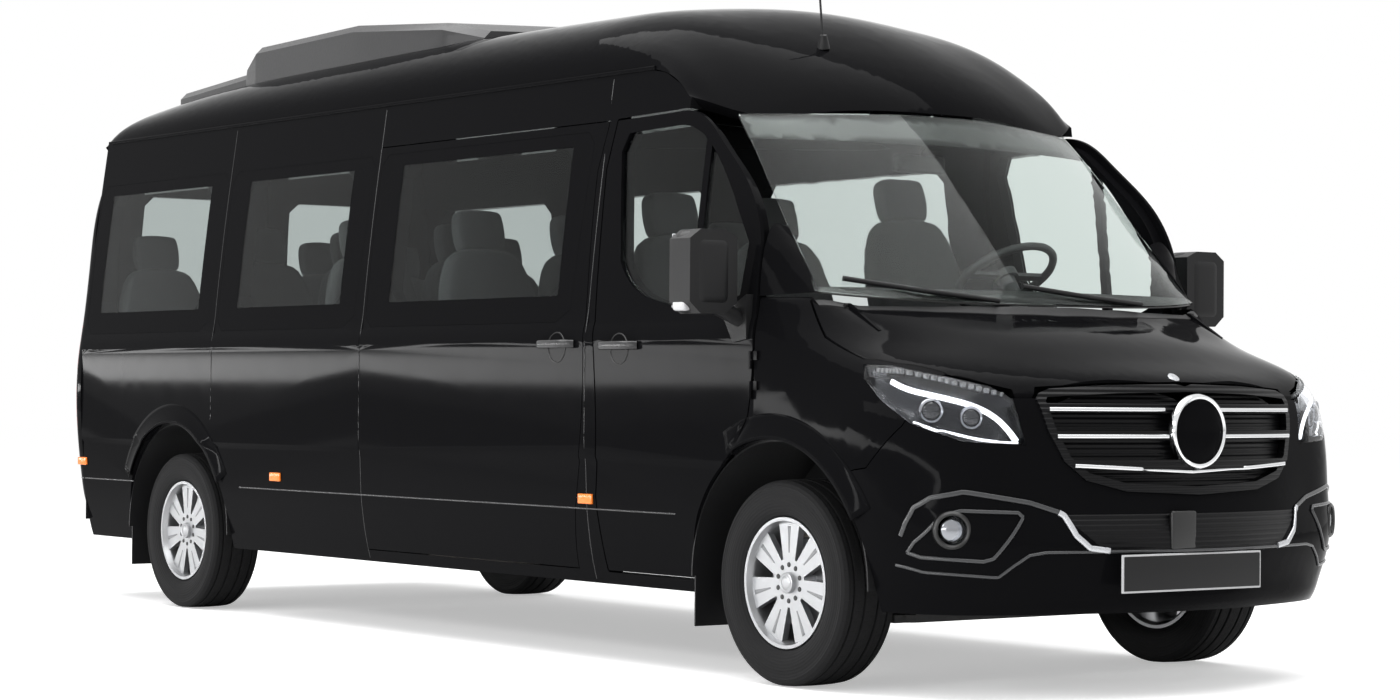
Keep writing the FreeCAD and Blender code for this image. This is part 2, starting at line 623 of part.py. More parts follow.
def front_door_glass():
    wire = side_runs_wire(DOOR_WINDOW_RUN_SHARES)
    x0, x1 = wire.BoundBox.XMin - OVERRUN, wire.BoundBox.XMax + OVERRUN
    slab = side_slab(x0, x1, DOOR_GLASS_INSET, DOOR_GLASS_INSET + PANE_WALL)
    pane = slab.common(side_prism(grown(wire, -SEAT_GAP)))
    bar = block(at(DIVIDER_REAR_SHARE, 0, 0).x, at(DIVIDER_FRONT_SHARE, 0, 0).x, 0, 2 * DOOR_HALF_WIDTH, 0, 3 * LIP_HEIGHT)
    return pane.cut(bar)


def divider_bar():
    wire = side_runs_wire(DOOR_WINDOW_RUN_SHARES)
    slab = side_slab(wire.BoundBox.XMin, wire.BoundBox.XMax, DOOR_GLASS_INSET - DOOR_SKIN / 2, SIDE_WALL / 2)
    bar = block(
        at(DIVIDER_REAR_SHARE, 0, 0).x + SEAT_GAP, at(DIVIDER_FRONT_SHARE, 0, 0).x - SEAT_GAP,
        0, 2 * DOOR_HALF_WIDTH, 0, 3 * LIP_HEIGHT,
    )
    return slab.common(side_prism(wire)).common(bar)


def sliding_door():
    solid = leaf(SLIDING_WIRE)
    return cut_all(solid, window_cutters(0))


# The nose: bonnet, wings, bumper, grille and lamps are cut from one surface
LAMP_SHARES = [
    (.40, .945, 1.065), (.489, .905, 1.062), (.654, .800, 1.024), (.77, .650, .982),
    (.80, .640, .90), (.825, .632, .812), (.746, .824, .822), (.623, .939, .878), (.519, .972, .95), (.425, .965, 1.02),
]
GRILLE_SHARES = [
    (.555, .990), (.30, 1.004), (0, 1.010), (-.30, 1.004), (-.555, .990), (-.575, .955),
    (-.555, .86), (-.51, .76), (-.44, .70), (-.30, .665), (0, .652), (.30, .665), (.44, .70),
    (.51, .76), (.555, .86), (.575, .955),
]
LOWER_GRILLE_SHARES = [(.54, .593), (-.54, .593), (-.40, .480), (.40, .480)]
BUMPER_SEAM_SHARES = [
    (-.80, .20), (.20, .20), (.20, .705), (.302, .712), (.475, .737), (.60, .871), (.64, .95), (.64, 1.5), (-.80, 1.5),
]
BONNET_REAR_SHARES = [(.10, .885), (.18, .76), (.255, .50), (.305, .25), (.32, 0)]
SCREEN_FOOT_SHARES = [(.072, .885), (.145, .755), (.215, .50), (.262, .25), (.277, 0)]
FRAME_WIDTH = 26.0
BAR_HEIGHT = 30.0
BAR_SHARES = [.930, .843, .750]
GRILLE_PROUD = 8.0
GRILLE_DEPTH = 30.0
BADGE_RADIUS = 92.0
BADGE_DEPTH = 26.0
FOG_RADIUS = 52.0
FOG_SHARES = (.745, .868, .545)
LAMP_GAP = 0.8


def front_prism(shares, x_share, gap=0.0):
    wire = ring([at(x_share, y, z) for y, z in shares])
    if gap:
        wire = wire.makeOffset2D(gap, 0)
    return Part.Face(wire).extrude(Vector(FRONT_OVERHANG, 0, 0))


def plan_prism(shares, low, gap=0.0):
    wire = ring([at(x, y, low) for x, y in shares])
    if gap:
        wire = wire.makeOffset2D(gap, 0)
    return Part.Face(wire).extrude(Vector(0, 0, LIP_HEIGHT))


def both_ways(shares):
    return shares + [(x, -y) for x, y in reversed(shares[:-1])]


def lamp_prism(gap=0.0):
    away = Vector(-.75, -.66, 0)
    away.normalize()
    plane_point = at(.70, .90, .90)
    flat = []
    for share in LAMP_SHARES:
        point = at(*share)
        flat.append(point - away * (point - plane_point).dot(away))
    wire = ring(flat)
    if gap:
        wire = wire.makeOffset2D(gap, 0)
    face = Part.Face(wire)
    face.translate(away * -OVERRUN)
    return face.extrude(away * (3 * OVERRUN))


def bonnet_outline():
    edge = [(x, y) for x, y in BONNET_EDGE_SHARES[1:]]
    rear = [(x, y) for x, y in BONNET_REAR_SHARES]
    right = [(x, -y) for x, y in reversed(edge[:-1])]
    left = edge
    back = rear[:-1] + [rear[-1]] + [(x, -y) for x, y in reversed(rear[:-1])]
    return left + right + list(reversed(back))


NOSE_GRID = nose_grid()
NOSE = panel(NOSE_GRID, SKIN_WALL)
BONNET_LOW_SHARE = 0.93
BONNET_HINGE_SHARES = (.137, .80, 1.264)
STRAP_SHARES = [(.130, 1.258), (.145, 1.268), (.30, 1.179), (.28, 1.172), (.16, 1.237)]
STRAP_SLOT_SHARES = [(.116, 1.31), (.16, 1.31), (.33, 1.21), (.29, 1.14), (.154, 1.230), (.116, 1.249)]
BOSS_SHARES = [(.129, 1.262), (.137, 1.270), (.143, 1.264), (.141, 1.238), (.122, 1.238)]
BARREL_RADIUS = 6.0
WING_REAR_SHARE = -.097
WING_TIP_SHARE = -.26


def bonnet():
    outer = panel(NOSE_GRID, DOOR_SKIN).common(plan_prism(bonnet_outline(), BONNET_LOW_SHARE))
    inner = panel(NOSE_GRID, SKIN_WALL - DOOR_SKIN, DOOR_SKIN)
    inner = inner.common(plan_prism(bonnet_outline(), BONNET_LOW_SHARE, -2 * DOOR_SKIN))
    tools = [front_prism(GRILLE_SHARES, .5, DOOR_GAP), lamp_prism(DOOR_GAP), mirrored(lamp_prism(DOOR_GAP))]
    shell = largest(cut_all(outer.fuse(inner), tools))
    straps = [bonnet_strap(), mirrored(bonnet_strap())]
    return largest(shell.fuse(straps))


def hinge_point():
    return at(*BONNET_HINGE_SHARES)


def bonnet_strap():
    strap = across(side_wire(STRAP_SHARES), strap_low_y(), strap_low_y() + 2 * BARREL_RADIUS)
    barrel = rod(hinge_point() - Vector(0, 2 * BARREL_RADIUS, 0), hinge_point(), BARREL_RADIUS)
    return strap.fuse(barrel)


def strap_low_y():
    return hinge_point().y - 2 * BARREL_RADIUS


def scuttle_boss():
    y0 = hinge_point().y + SEAT_GAP
    post = across(side_wire(BOSS_SHARES), y0, y0 + 2 * BARREL_RADIUS)
    barrel = rod(hinge_point() + Vector(0, SEAT_GAP, 0), hinge_point() + Vector(0, 2 * BARREL_RADIUS, 0), BARREL_RADIUS)
    return post.fuse(barrel)


def screen_cutter():
    shares = both_ways(SCREEN_FOOT_SHARES)
    return plan_prism([(-.75, .885)] + shares + [(-.75, -.885)], BONNET_LOW_SHARE)


def nose_rest():
    shut = grown(DOOR_WIRE, DOOR_GAP)
    tools = [
        plan_prism(bonnet_outline(), BONNET_LOW_SHARE, DOOR_GAP),
        front_prism(GRILLE_SHARES, .5, SEAT_GAP),
        front_prism(LOWER_GRILLE_SHARES, .5),
        screen_cutter(),
        plan_prism(scuttle_outline(), BONNET_LOW_SHARE, SEAT_GAP),
    ]
    for side in (mirrored, lambda shape: shape):
        tools += [side(side_prism(shut)), side(arch_cutter(FRONT_AXLE_X)), side(lamp_prism(LAMP_GAP))]
        tools.append(side(fog_cylinder(FOG_RADIUS + SEAT_GAP)))
    return cut_all(NOSE, tools)


def fog_cylinder(radius):
    centre = at(*FOG_SHARES)
    outward = Vector(.84, .54, 0)
    return Part.makeCylinder(radius, 2 * OVERRUN, centre - outward * OVERRUN, outward)


def scuttle_outline():
    rear = both_ways(SCREEN_FOOT_SHARES)
    front = both_ways([(x - DOOR_GAP / FRONT_OVERHANG, y) for x, y in BONNET_REAR_SHARES])
    return rear + list(reversed(front))


def scuttle():
    slot = across(side_wire(STRAP_SLOT_SHARES), strap_low_y() - DOOR_GAP, hinge_point().y + SEAT_GAP)
    tray = NOSE.common(plan_prism(scuttle_outline(), BONNET_LOW_SHARE)).cut(slot.fuse(mirrored(slot)))
    whole = largest(tray).fuse([scuttle_boss(), mirrored(scuttle_boss())])
    return largest(whole.cut(panel(WINDSCREEN_GRID, 4 * PANE_WALL, -SEAT_GAP)))


def wing_zone(gap=0.0):
    wire = side_wire(BUMPER_SEAM_SHARES)
    return across(grown(wire, gap) if gap else wire, -2 * DOOR_HALF_WIDTH, 2 * DOOR_HALF_WIDTH)


def front_wing():
    rear_x = at(WING_REAR_SHARE, 0, 0).x
    arch = arch_cutter(FRONT_AXLE_X)
    quarter = block(rear_x, 2 * FRONT_AXLE_X, 0, 2 * DOOR_HALF_WIDTH, 0, 2 * LIP_HEIGHT)
    tools = [
        plan_prism(bonnet_outline(), BONNET_LOW_SHARE, DOOR_GAP),
        screen_cutter(),
        plan_prism(scuttle_outline(), BONNET_LOW_SHARE, SEAT_GAP),
        lamp_prism(LAMP_GAP),
    ]
    solid = largest(cut_all(NOSE.common(quarter).cut(arch).common(wing_zone()), tools))
    tip = side_slab(at(WING_TIP_SHARE, 0, 0).x, rear_x, 0, SKIN_WALL)
    tip = cut_all(tip, [side_prism(grown(DOOR_WIRE, DOOR_GAP)), arch])
    low = block(0, FRONT_AXLE_X, 0, 2 * DOOR_HALF_WIDTH, 0, LIP_HEIGHT)
    solid = largest(solid.fuse(largest(tip.common(wing_zone()).common(low))))
    for height in DOOR_HINGE_HEIGHT_SHARES:
        solid = largest(solid.fuse(door_hinge_leaf(height * LIP_HEIGHT + SEAT_GAP, 1)))
    return solid


def front_bumper():
    return largest(nose_rest().cut(wing_zone(SEAM_GAP)))


def grille():
    hull = panel(NOSE_GRID, GRILLE_DEPTH, -GRILLE_PROUD)
    zone = front_prism(GRILLE_SHARES, .5)
    hole = front_prism(GRILLE_SHARES, .5, -FRAME_WIDTH)
    front_band = hull.common(zone)
    frame = front_band.cut(hole)
    pieces = [frame]
    for share in BAR_SHARES:
        middle = share * LIP_HEIGHT
        slab = block(FRONT_AXLE_X, 2 * FRONT_AXLE_X, -DOOR_HALF_WIDTH, DOOR_HALF_WIDTH, middle - BAR_HEIGHT / 2, middle + BAR_HEIGHT / 2)
        pieces.append(front_band.common(slab))
    back = panel(NOSE_GRID, PANE_WALL, GRILLE_DEPTH - GRILLE_PROUD - 2 * SEAT_GAP).common(zone)
    pieces.append(back)
    disc_x = at(.955, 0, 0).x
    disc = Part.makeCylinder(BADGE_RADIUS, BADGE_DEPTH * 2, Vector(disc_x, 0, .856 * LIP_HEIGHT), Vector(-1, 0, 0))
    pieces.append(disc)
    lower = NOSE.common(front_prism(LOWER_GRILLE_SHARES, .5, -SEAT_GAP))
    shut = plan_prism(bonnet_outline(), BONNET_LOW_SHARE, DOOR_GAP)
    return largest(fused(pieces).cut(shut)), largest(lower)


def front_lamps():
    shut = plan_prism(bonnet_outline(), BONNET_LOW_SHARE, DOOR_GAP)
    lens = largest(NOSE.common(lamp_prism()).cut(shut))
    fog = largest(NOSE.common(fog_cylinder(FOG_RADIUS)))
    return [lens, mirrored(lens), fog, mirrored(fog)]


# The roof, the windscreen and the pillars beside it
ROOF_GRID = full_width_rows(ROOF_ROW_SHARES, GRID_COLUMNS)
ROOF = panel(ROOF_GRID, ROOF_WALL)
WINDSCREEN_GRID = full_width_rows(WINDSCREEN_ROW_SHARES, GRID_COLUMNS)


def windscreen():
    return largest(panel(WINDSCREEN_GRID, PANE_WALL).cut(ROOF))


FIREWALL_X_SHARE = .06
FIREWALL_WALL = 12.0
FIREWALL_HIGH_SHARE = 1.20
PILLAR_WALL_SHARE = .032


def pillar_section(heights, row):
    side_z, screen_z = heights
    side_y, screen_y = row[0][1], row[-1][1]
    slope = (side_z - screen_z) / (side_y - screen_y)
    wall = PILLAR_WALL_SHARE
    inner = [(x - wall * lean, y - wall) for (x, y), lean in ((row[-1], 1), (row[2], 1), (row[0], 0))]

    def flat(shares):
        return [at(x, y, screen_z + slope * (y - screen_y)) for x, y in shares]

    outer = flat(row)
    back = flat(inner)
    return run_wire([outer, [outer[-1], back[0]], back, [back[-1], outer[0]]])


def pillar():
    solid = Part.makeLoft([pillar_section(*row) for row in PILLAR_ROW_SHARES], True, True)
    keep = block(SIDE_FRONT_X + SEAT_GAP, 2 * FRONT_AXLE_X, 0, 2 * DOOR_HALF_WIDTH, 0, 3 * LIP_HEIGHT)
    screen = panel(WINDSCREEN_GRID, PANE_WALL + 2 * SCREEN_GAP, -SCREEN_GAP)
    return largest(cut_all(solid.common(keep), [side_prism(grown(DOOR_WIRE, DOOR_GAP)), ROOF, screen]))


def firewall():
    x = at(FIREWALL_X_SHARE, 0, 0).x
    half = DOOR_HALF_WIDTH - 2 * SIDE_WALL
    plate = block(x - FIREWALL_WALL, x, -half, half, FLOOR_TOP, FIREWALL_HIGH_SHARE * LIP_HEIGHT)
    wells = []
    for side in (-1, 1):
        start = Vector(FRONT_AXLE_X, side * (LINER_DEEP_Y - SEAT_GAP), TYRE_RADIUS)
        wells.append(Part.makeCylinder(ARCH_RADIUS, DOOR_HALF_WIDTH, start, Vector(0, side, 0)))
    return plate.cut(Part.makeCompound(wells))


# The rear, from the left corner to the right, in rows of equal height
REAR_ROW_SHARES = [
    (-5.315, .970, .42), (-5.330, .992, .55), (-5.340, 1.010, .75), (-5.340, 1.010, 1.13),
    (-5.338, .992, 1.26), (-5.330, .957, 1.60), (-5.308, .920, 1.87), (-5.275, .893, 2.095),
]
CORNER_SHARES = [(.11, 0), (.055, .002), (.008, .022), (-.028, .07), (-.048, .15), (-.064, .45), (-.070, 1.0)]
REAR_WALL = 60.0
REAR_DOOR_EDGE_SHARE = .79
REAR_DOOR_LOW_SHARE = .645
REAR_DOOR_HIGH_SHARE = 2.085
REAR_DOOR_GAP = 8.0
REAR_WINDOW_SHARES = [(.12, 1.33), (.17, 1.28), (.64, 1.28), (.69, 1.33), (.665, 1.84), (.62, 1.885), (.17, 1.885), (.12, 1.84)]
TAIL_LAMP_SHARES = [(.815, .78), (1.20, .78), (1.20, 1.30), (.815, 1.30)]
TAIL_LAMP_FRONT_SHARE = -5.30
REAR_HINGE_SHARES = (-5.418, .80)
REAR_HINGE_HEIGHT_SHARES = [.80, 1.25, 1.95]
HINGE_LENGTH = 60.0


def rear_rows():
    rows = []
    for x, y, z in REAR_ROW_SHARES:
        row = [(x + dx, y - dy if dy < .4 else y - dy if dy < 1 else 0, z) for dx, dy in CORNER_SHARES]
        rows.append(row)
    return rows


REAR_GRID = full_width_rows(rear_rows(), GRID_COLUMNS)
REAR_SHELL = panel(REAR_GRID, REAR_WALL)


def rear_prism(shares, gap=0.0):
    wire = ring([Vector(REAR_END_X - OVERRUN, y * DOOR_HALF_WIDTH, z * LIP_HEIGHT) for y, z in shares])
    if gap:
        wire = wire.makeOffset2D(gap, 0)
    return Part.Face(wire).extrude(Vector(3 * OVERRUN, 0, 0))


def rear_door_shares():
    half_gap = REAR_DOOR_GAP / DOOR_HALF_WIDTH
    edge, low, high = REAR_DOOR_EDGE_SHARE, REAR_DOOR_LOW_SHARE, REAR_DOOR_HIGH_SHARE
    return [(half_gap, low), (edge, low), (edge, high), (half_gap, high)]


def rear_door():
    solid = REAR_SHELL.common(rear_prism(rear_door_shares()))
    leaf_solid = largest(solid.cut(rear_prism(REAR_WINDOW_SHARES)))
    ears = [rear_hinge_leaf(z * LIP_HEIGHT - HINGE_LENGTH / 2, -1) for z in REAR_HINGE_HEIGHT_SHARES]
    return largest(leaf_solid.fuse(ears))


def rear_glass():
    pane = panel(REAR_GRID, PANE_WALL, DOOR_GLASS_INSET)
    return largest(pane.common(rear_prism(REAR_WINDOW_SHARES, -SEAT_GAP)))


def rear_band():
    return block(at(TAIL_LAMP_FRONT_SHARE, 0, 0).x, FRONT_AXLE_X, -2 * DOOR_HALF_WIDTH, 2 * DOOR_HALF_WIDTH, 0, 3 * LIP_HEIGHT)


def tail_lamp():
    return largest(REAR_SHELL.common(rear_prism(TAIL_LAMP_SHARES)).cut(rear_band()))


def rear_frame():
    edge, low, high = REAR_DOOR_EDGE_SHARE, REAR_DOOR_LOW_SHARE, REAR_DOOR_HIGH_SHARE
    opening = rear_prism([(-edge, low), (edge, low), (edge, high), (-edge, high)], DOOR_GAP)
    front = block(REAR_CORNER_X + SEAT_GAP, FRONT_AXLE_X, -2 * DOOR_HALF_WIDTH, 2 * DOOR_HALF_WIDTH, 0, 3 * LIP_HEIGHT)
    tools = [opening, front]
    for side in (1, -1):
        well = rear_prism([(side * y, z) for y, z in TAIL_LAMP_SHARES], SEAT_GAP)
        tools.append(well.cut(rear_band()))
    posts = cut_all(REAR_SHELL, tools + [ROOF])
    ears = []
    for height in REAR_HINGE_HEIGHT_SHARES:
        ear = rear_hinge_leaf(height * LIP_HEIGHT + SEAT_GAP, 1)
        ears += [ear, mirrored(ear)]
    return posts.fuse(ears)


def rear_hinge_leaf(low, outward):
    pin = at(REAR_HINGE_SHARES[0], REAR_HINGE_SHARES[1], 0)
    pin.z = low
    length = HINGE_LENGTH / 2 - SEAT_GAP
    barrel = Part.makeCylinder(BARREL_RADIUS, length, pin)
    y0, y1 = sorted((pin.y, pin.y + outward * 4 * BARREL_RADIUS))
    plate = block(pin.x, pin.x + 16 * BARREL_RADIUS, y0, y1, low, low + length)
    return barrel.fuse(plate.cut(panel(REAR_GRID, 4 * REAR_WALL)))


# Under the body
FLOOR_HALF_WIDTH = DOOR_HALF_WIDTH - SIDE_WALL - GLASS_GAP
CAB_FLOOR_INSET = 20.0
ENGINE_MOUNT_SIZE = 40.0
LINER_DEEP_Y = 600.0
ENGINE_SIZE = (450.0, 520.0, 440.0)
ENGINE_LOW = 500.0
ENGINE_REAR_SHARE = .10
AXLE_TUBE_RADIUS = 45.0
DIFFERENTIAL_RADIUS = 135.0
SPRING_WIDTH = 70.0
SPRING_THICK = 30.0
SPRING_HALF_LENGTH = 640.0
TANK_SIZE = (900.0, 300.0, 240.0)
EXHAUST_RADIUS = 32.0
SILENCER_RADIUS = 90.0
FLAP_WALL = 6.0
FLAP_LOW = 170.0


def floor_plate():
    rear, front = at(-5.25, 0, 0).x, at(FIREWALL_X_SHARE, 0, 0).x
    plate = block(rear, front, -FLOOR_HALF_WIDTH, FLOOR_HALF_WIDTH, FLOOR_LOW, FLOOR_TOP)
    rise = FLOOR_LOW - TYRE_RADIUS
    tools = []
    for axle_x in (FRONT_AXLE_X, REAR_AXLE_X):
        half = math.sqrt(ARCH_RADIUS ** 2 - rise ** 2)
        for side in (-1, 1):
            y0, y1 = sorted((side * (LINER_DEEP_Y - SEAT_GAP), side * 2 * FLOOR_HALF_WIDTH))
            tools.append(block(axle_x - half, axle_x + half, y0, y1, FLOOR_LOW - OVERRUN, FLOOR_TOP + OVERRUN))
    step_x = DOOR_WIRE.BoundBox.XMin - CAB_FLOOR_INSET
    edge_y = FLOOR_HALF_WIDTH - CAB_FLOOR_INSET
    for y0, y1 in ((edge_y, 2 * edge_y), (-2 * edge_y, -edge_y)):
        tools.append(block(step_x, FRONT_AXLE_X + FRONT_OVERHANG, y0, y1, FLOOR_LOW - OVERRUN, FLOOR_TOP + OVERRUN))
        tools.append(block(REAR_END_X, REAR_CORNER_X + GLASS_GAP, y0, y1, FLOOR_LOW - OVERRUN, FLOOR_TOP + OVERRUN))
    return plate.cut(Part.makeCompound(tools))


def wheel_liner(axle_x):
    radius = ARCH_RADIUS - SEAT_GAP
    outer_y = DOOR_HALF_WIDTH - SKIN_WALL / 2
    start = Vector(axle_x, LINER_DEEP_Y, TYRE_RADIUS)
    tube = Part.makeCylinder(radius, outer_y - LINER_DEEP_Y, start, Vector(0, 1, 0))
    bore = Part.makeCylinder(radius - LINER_WALL, outer_y, start + Vector(0, LINER_WALL, 0), Vector(0, 1, 0))
    shell = tube.cut(bore)
    low = block(axle_x - 2 * radius, axle_x + 2 * radius, 0, 2 * DOOR_HALF_WIDTH, -radius, TYRE_RADIUS)
    inner_low = block(axle_x - 2 * radius, axle_x + 2 * radius, 0, LINER_DEEP_Y + LINER_WALL, -radius, FLOOR_LOW)
    shell = shell.cut(low).cut(inner_low)
    flap_x = axle_x - radius
    flap = block(flap_x, flap_x + FLAP_WALL, HALF_TRACK - TYRE_WIDTH / 2, HALF_TRACK + TYRE_WIDTH / 2, FLAP_LOW, TYRE_RADIUS + FLAP_WALL)
    return fused([shell, flap])


def wheel_liners():
    pieces = []
    for axle_x in (FRONT_AXLE_X, REAR_AXLE_X):
        piece = wheel_liner(axle_x)
        pieces += [piece, mirrored(piece)]
    return pieces


def engine():
    long, wide, tall = ENGINE_SIZE
    x0 = at(ENGINE_REAR_SHARE, 0, 0).x
    return block(x0, x0 + long, -wide / 2, wide / 2, ENGINE_LOW, ENGINE_LOW + tall)


def front_suspension():
    low_arm = wishbone(KNUCKLE_LOW - ARM_GAP - ARM_THICK, KINGPIN_Y, CROSSBEAM_Y)
    high_arm = wishbone(KNUCKLE_HIGH + ARM_GAP, KINGPIN_Y, RAIL_Y + RAIL_WIDTH / 2)
    beam_low = KNUCKLE_LOW - ARM_GAP - ARM_THICK
    beam = block(
        FRONT_AXLE_X - ARM_SPREAD - ARM_ROOT_WIDTH / 2, FRONT_AXLE_X + ARM_SPREAD + ARM_ROOT_WIDTH / 2,
        -CROSSBEAM_Y, CROSSBEAM_Y, beam_low, beam_low + CROSSBEAM_DEPTH,
    )
    pieces = [beam]
    for side in (lambda shape: shape, mirrored):
        strut_foot = Vector(FRONT_AXLE_X, CROSSBEAM_Y + 2 * STUB_RADIUS, beam_low + ARM_THICK / 2)
        strut_head = Vector(FRONT_AXLE_X, CROSSBEAM_Y + 2 * STUB_RADIUS, FLOOR_LOW)
        hanger = block(
            FRONT_AXLE_X - CROSSBEAM_WIDTH / 2, FRONT_AXLE_X + CROSSBEAM_WIDTH / 2,
            RAIL_Y - RAIL_WIDTH / 2, RAIL_Y + RAIL_WIDTH / 2, beam_low + CROSSBEAM_DEPTH, RAIL_LOW,
        )
        riser = block(
            FRONT_AXLE_X - ARM_SPREAD - ARM_ROOT_WIDTH / 2, FRONT_AXLE_X + ARM_SPREAD + ARM_ROOT_WIDTH / 2,
            RAIL_Y - RAIL_WIDTH / 2, RAIL_Y + RAIL_WIDTH / 2, KNUCKLE_HIGH + ARM_GAP, RAIL_LOW,
        )
        strut = rod(strut_foot, strut_head, STUB_RADIUS)
        pan = block(
            FRONT_AXLE_X - ARM_SPREAD, FRONT_AXLE_X + ARM_SPREAD, CROSSBEAM_Y, CROSSBEAM_Y + 3 * STUB_RADIUS,
            beam_low, beam_low + ARM_THICK,
        )
        pieces += [side(shape) for shape in (low_arm, high_arm, hanger, riser, strut, pan)]
    return fused(pieces)


def rear_axle():
    reach = HALF_TRACK - SEAT_GAP
    tube = rod(Vector(REAR_AXLE_X, -reach, TYRE_RADIUS), Vector(REAR_AXLE_X, reach, TYRE_RADIUS), AXLE_TUBE_RADIUS)
    bulb = Part.makeSphere(DIFFERENTIAL_RADIUS, Vector(REAR_AXLE_X, 0, TYRE_RADIUS))
    pieces = [tube, bulb]
    for side in (-1, 1):
        y0 = side * RAIL_Y - SPRING_WIDTH / 2
        seat = TYRE_RADIUS + AXLE_TUBE_RADIUS / 2
        arc = [
            Vector(REAR_AXLE_X - SPRING_HALF_LENGTH, y0, RAIL_LOW), Vector(REAR_AXLE_X, y0, seat),
            Vector(REAR_AXLE_X + SPRING_HALF_LENGTH, y0, RAIL_LOW),
        ]
        low = Part.Arc(*arc).toShape()
        high = low.copy()
        high.translate(Vector(0, 0, SPRING_THICK))
        ends = [
            Part.LineSegment(arc[0], arc[0] + Vector(0, 0, SPRING_THICK)).toShape(),
            Part.LineSegment(arc[2], arc[2] + Vector(0, 0, SPRING_THICK)).toShape(),
        ]
        leaf_spring = Part.Face(Part.Wire([low, ends[1], high, ends[0]])).extrude(Vector(0, SPRING_WIDTH, 0))
        top = block(
            REAR_AXLE_X - 2 * SPRING_HALF_LENGTH, REAR_AXLE_X + 2 * SPRING_HALF_LENGTH,
            y0 - OVERRUN, y0 + SPRING_WIDTH + OVERRUN, RAIL_LOW, RAIL_LOW + OVERRUN,
        )
        pieces.append(leaf_spring.cut(top))
    return fused(pieces)


def fuel_tank():
    long, wide, tall = TANK_SIZE
    x0 = at(-3.3, 0, 0).x
    y0 = RAIL_Y + RAIL_WIDTH / 2 + 2 * SEAT_GAP
    return block(x0, x0 + long, y0, y0 + wide, FLOOR_LOW - tall, FLOOR_LOW)


def exhaust():
    y = -RAIL_Y + RAIL_WIDTH / 2 + SILENCER_RADIUS + RAIL_WALL
    z = RAIL_LOW - 2 * EXHAUST_RADIUS
    silencer_rear, silencer_front = at(-3.2, 0, 0).x, at(-2.55, 0, 0).x
    pipe = rod(Vector(at(-3.75, 0, 0).x, y, z), Vector(at(-.5, 0, 0).x, y, z), EXHAUST_RADIUS)
    silencer = rod(Vector(silencer_rear, y, z), Vector(silencer_front, y, z), SILENCER_RADIUS)
    pieces = [pipe, silencer]
    for share in CROSSMEMBER_SHARES[1:4]:
        x = at(share, 0, 0).x
        pieces.append(block(
            x - EXHAUST_RADIUS / 2, x + EXHAUST_RADIUS / 2, y - EXHAUST_RADIUS / 2, y + EXHAUST_RADIUS / 2,
            z, RAIL_LOW + RAIL_WALL,
        ))
    return fused(pieces)


# The cabin
DASH_RUN_SHARES = [(-.02, .92), (-.02, 1.20), (-.12, 1.255), (-.30, 1.235), (-.36, 1.12), (-.28, .92)]
SEAT_WIDTH = 450.0
SEAT_RUN_SHARES = [(-.30, .33), (-.29, .42), (.20, .44), (.22, .33)]
BACK_RUN_SHARES = [(-.40, .88), (-.32, .90), (-.20, .42), (-.29, .39)]
HEAD_RUN_SHARES = [(-.445, 1.06), (-.365, 1.07), (-.34, .925), (-.41, .915)]
LEG_RUN_SHARES = [(-.20, 0), (.12, 0), (.12, .34), (-.20, .34)]
STEM_RUN_SHARES = [(-.395, .94), (-.375, .94), (-.355, .85), (-.375, .85)]
ROW_X_SHARES = [-2.00, -2.90, -3.80, -4.80]
ROW_SEAT_SHARES = [(-.64, -.17, .62), (-.64, -.17, .62), (-.64, -.17, .62), (-.665, -.222, .222, .665)]
FRONT_ROW_X_SHARE = -.72
FRONT_ROW_SEAT_SHARES = (-.62, -.155, .48)
FRONT_ROW_LIFT_SHARES = (-.08, -.08, .02)
PASSENGER_LIFT_SHARE = -.09
WHEEL_HUB_SHARES = (-.48, .46, 1.41)
COLUMN_ROOT_SHARES = (-.26, .46, 1.08)
STEERING_WHEEL_RADIUS = 190.0
STEERING_RIM_RADIUS = 15.0


def seat(x_share, y_share, lift_share):
    pieces = []
    parts = ((SEAT_RUN_SHARES, 1.0), (BACK_RUN_SHARES, .96), (HEAD_RUN_SHARES, .58), (STEM_RUN_SHARES, .30), (LEG_RUN_SHARES, .62))
    y_middle = y_share * DOOR_HALF_WIDTH
    for shares, width_share in parts:
        half = SEAT_WIDTH * width_share / 2
        wire = side_wire([(x_share + x, FLOOR_SHARE + z + (lift_share if z > 0 else 0)) for x, z in shares])
        pieces.append(across(wire, y_middle - half, y_middle + half))
    return fused(pieces)


def front_seats():
    return [seat(FRONT_ROW_X_SHARE, y, lift) for y, lift in zip(FRONT_ROW_SEAT_SHARES, FRONT_ROW_LIFT_SHARES)]


def passenger_seats():
    seats = []
    for x_share, row in zip(ROW_X_SHARES, ROW_SEAT_SHARES):
        seats += [seat(x_share, y, PASSENGER_LIFT_SHARE) for y in row]
    return seats


def dashboard():
    half = DOOR_HALF_WIDTH - 2 * SIDE_WALL
    body = across(side_wire(DASH_RUN_SHARES), -half, half)
    hub, root = at(*WHEEL_HUB_SHARES), at(*COLUMN_ROOT_SHARES)
    along = (root - hub).normalize()
    column = rod(hub + along * (STEERING_RIM_RADIUS + SEAT_GAP), root, 2 * STEERING_RIM_RADIUS)
    leg = block(at(-.20, 0, 0).x, at(-.02, 0, 0).x, -SEAT_WIDTH / 3, SEAT_WIDTH / 3, FLOOR_TOP, .95 * LIP_HEIGHT)
    return fused([body, column, leg])


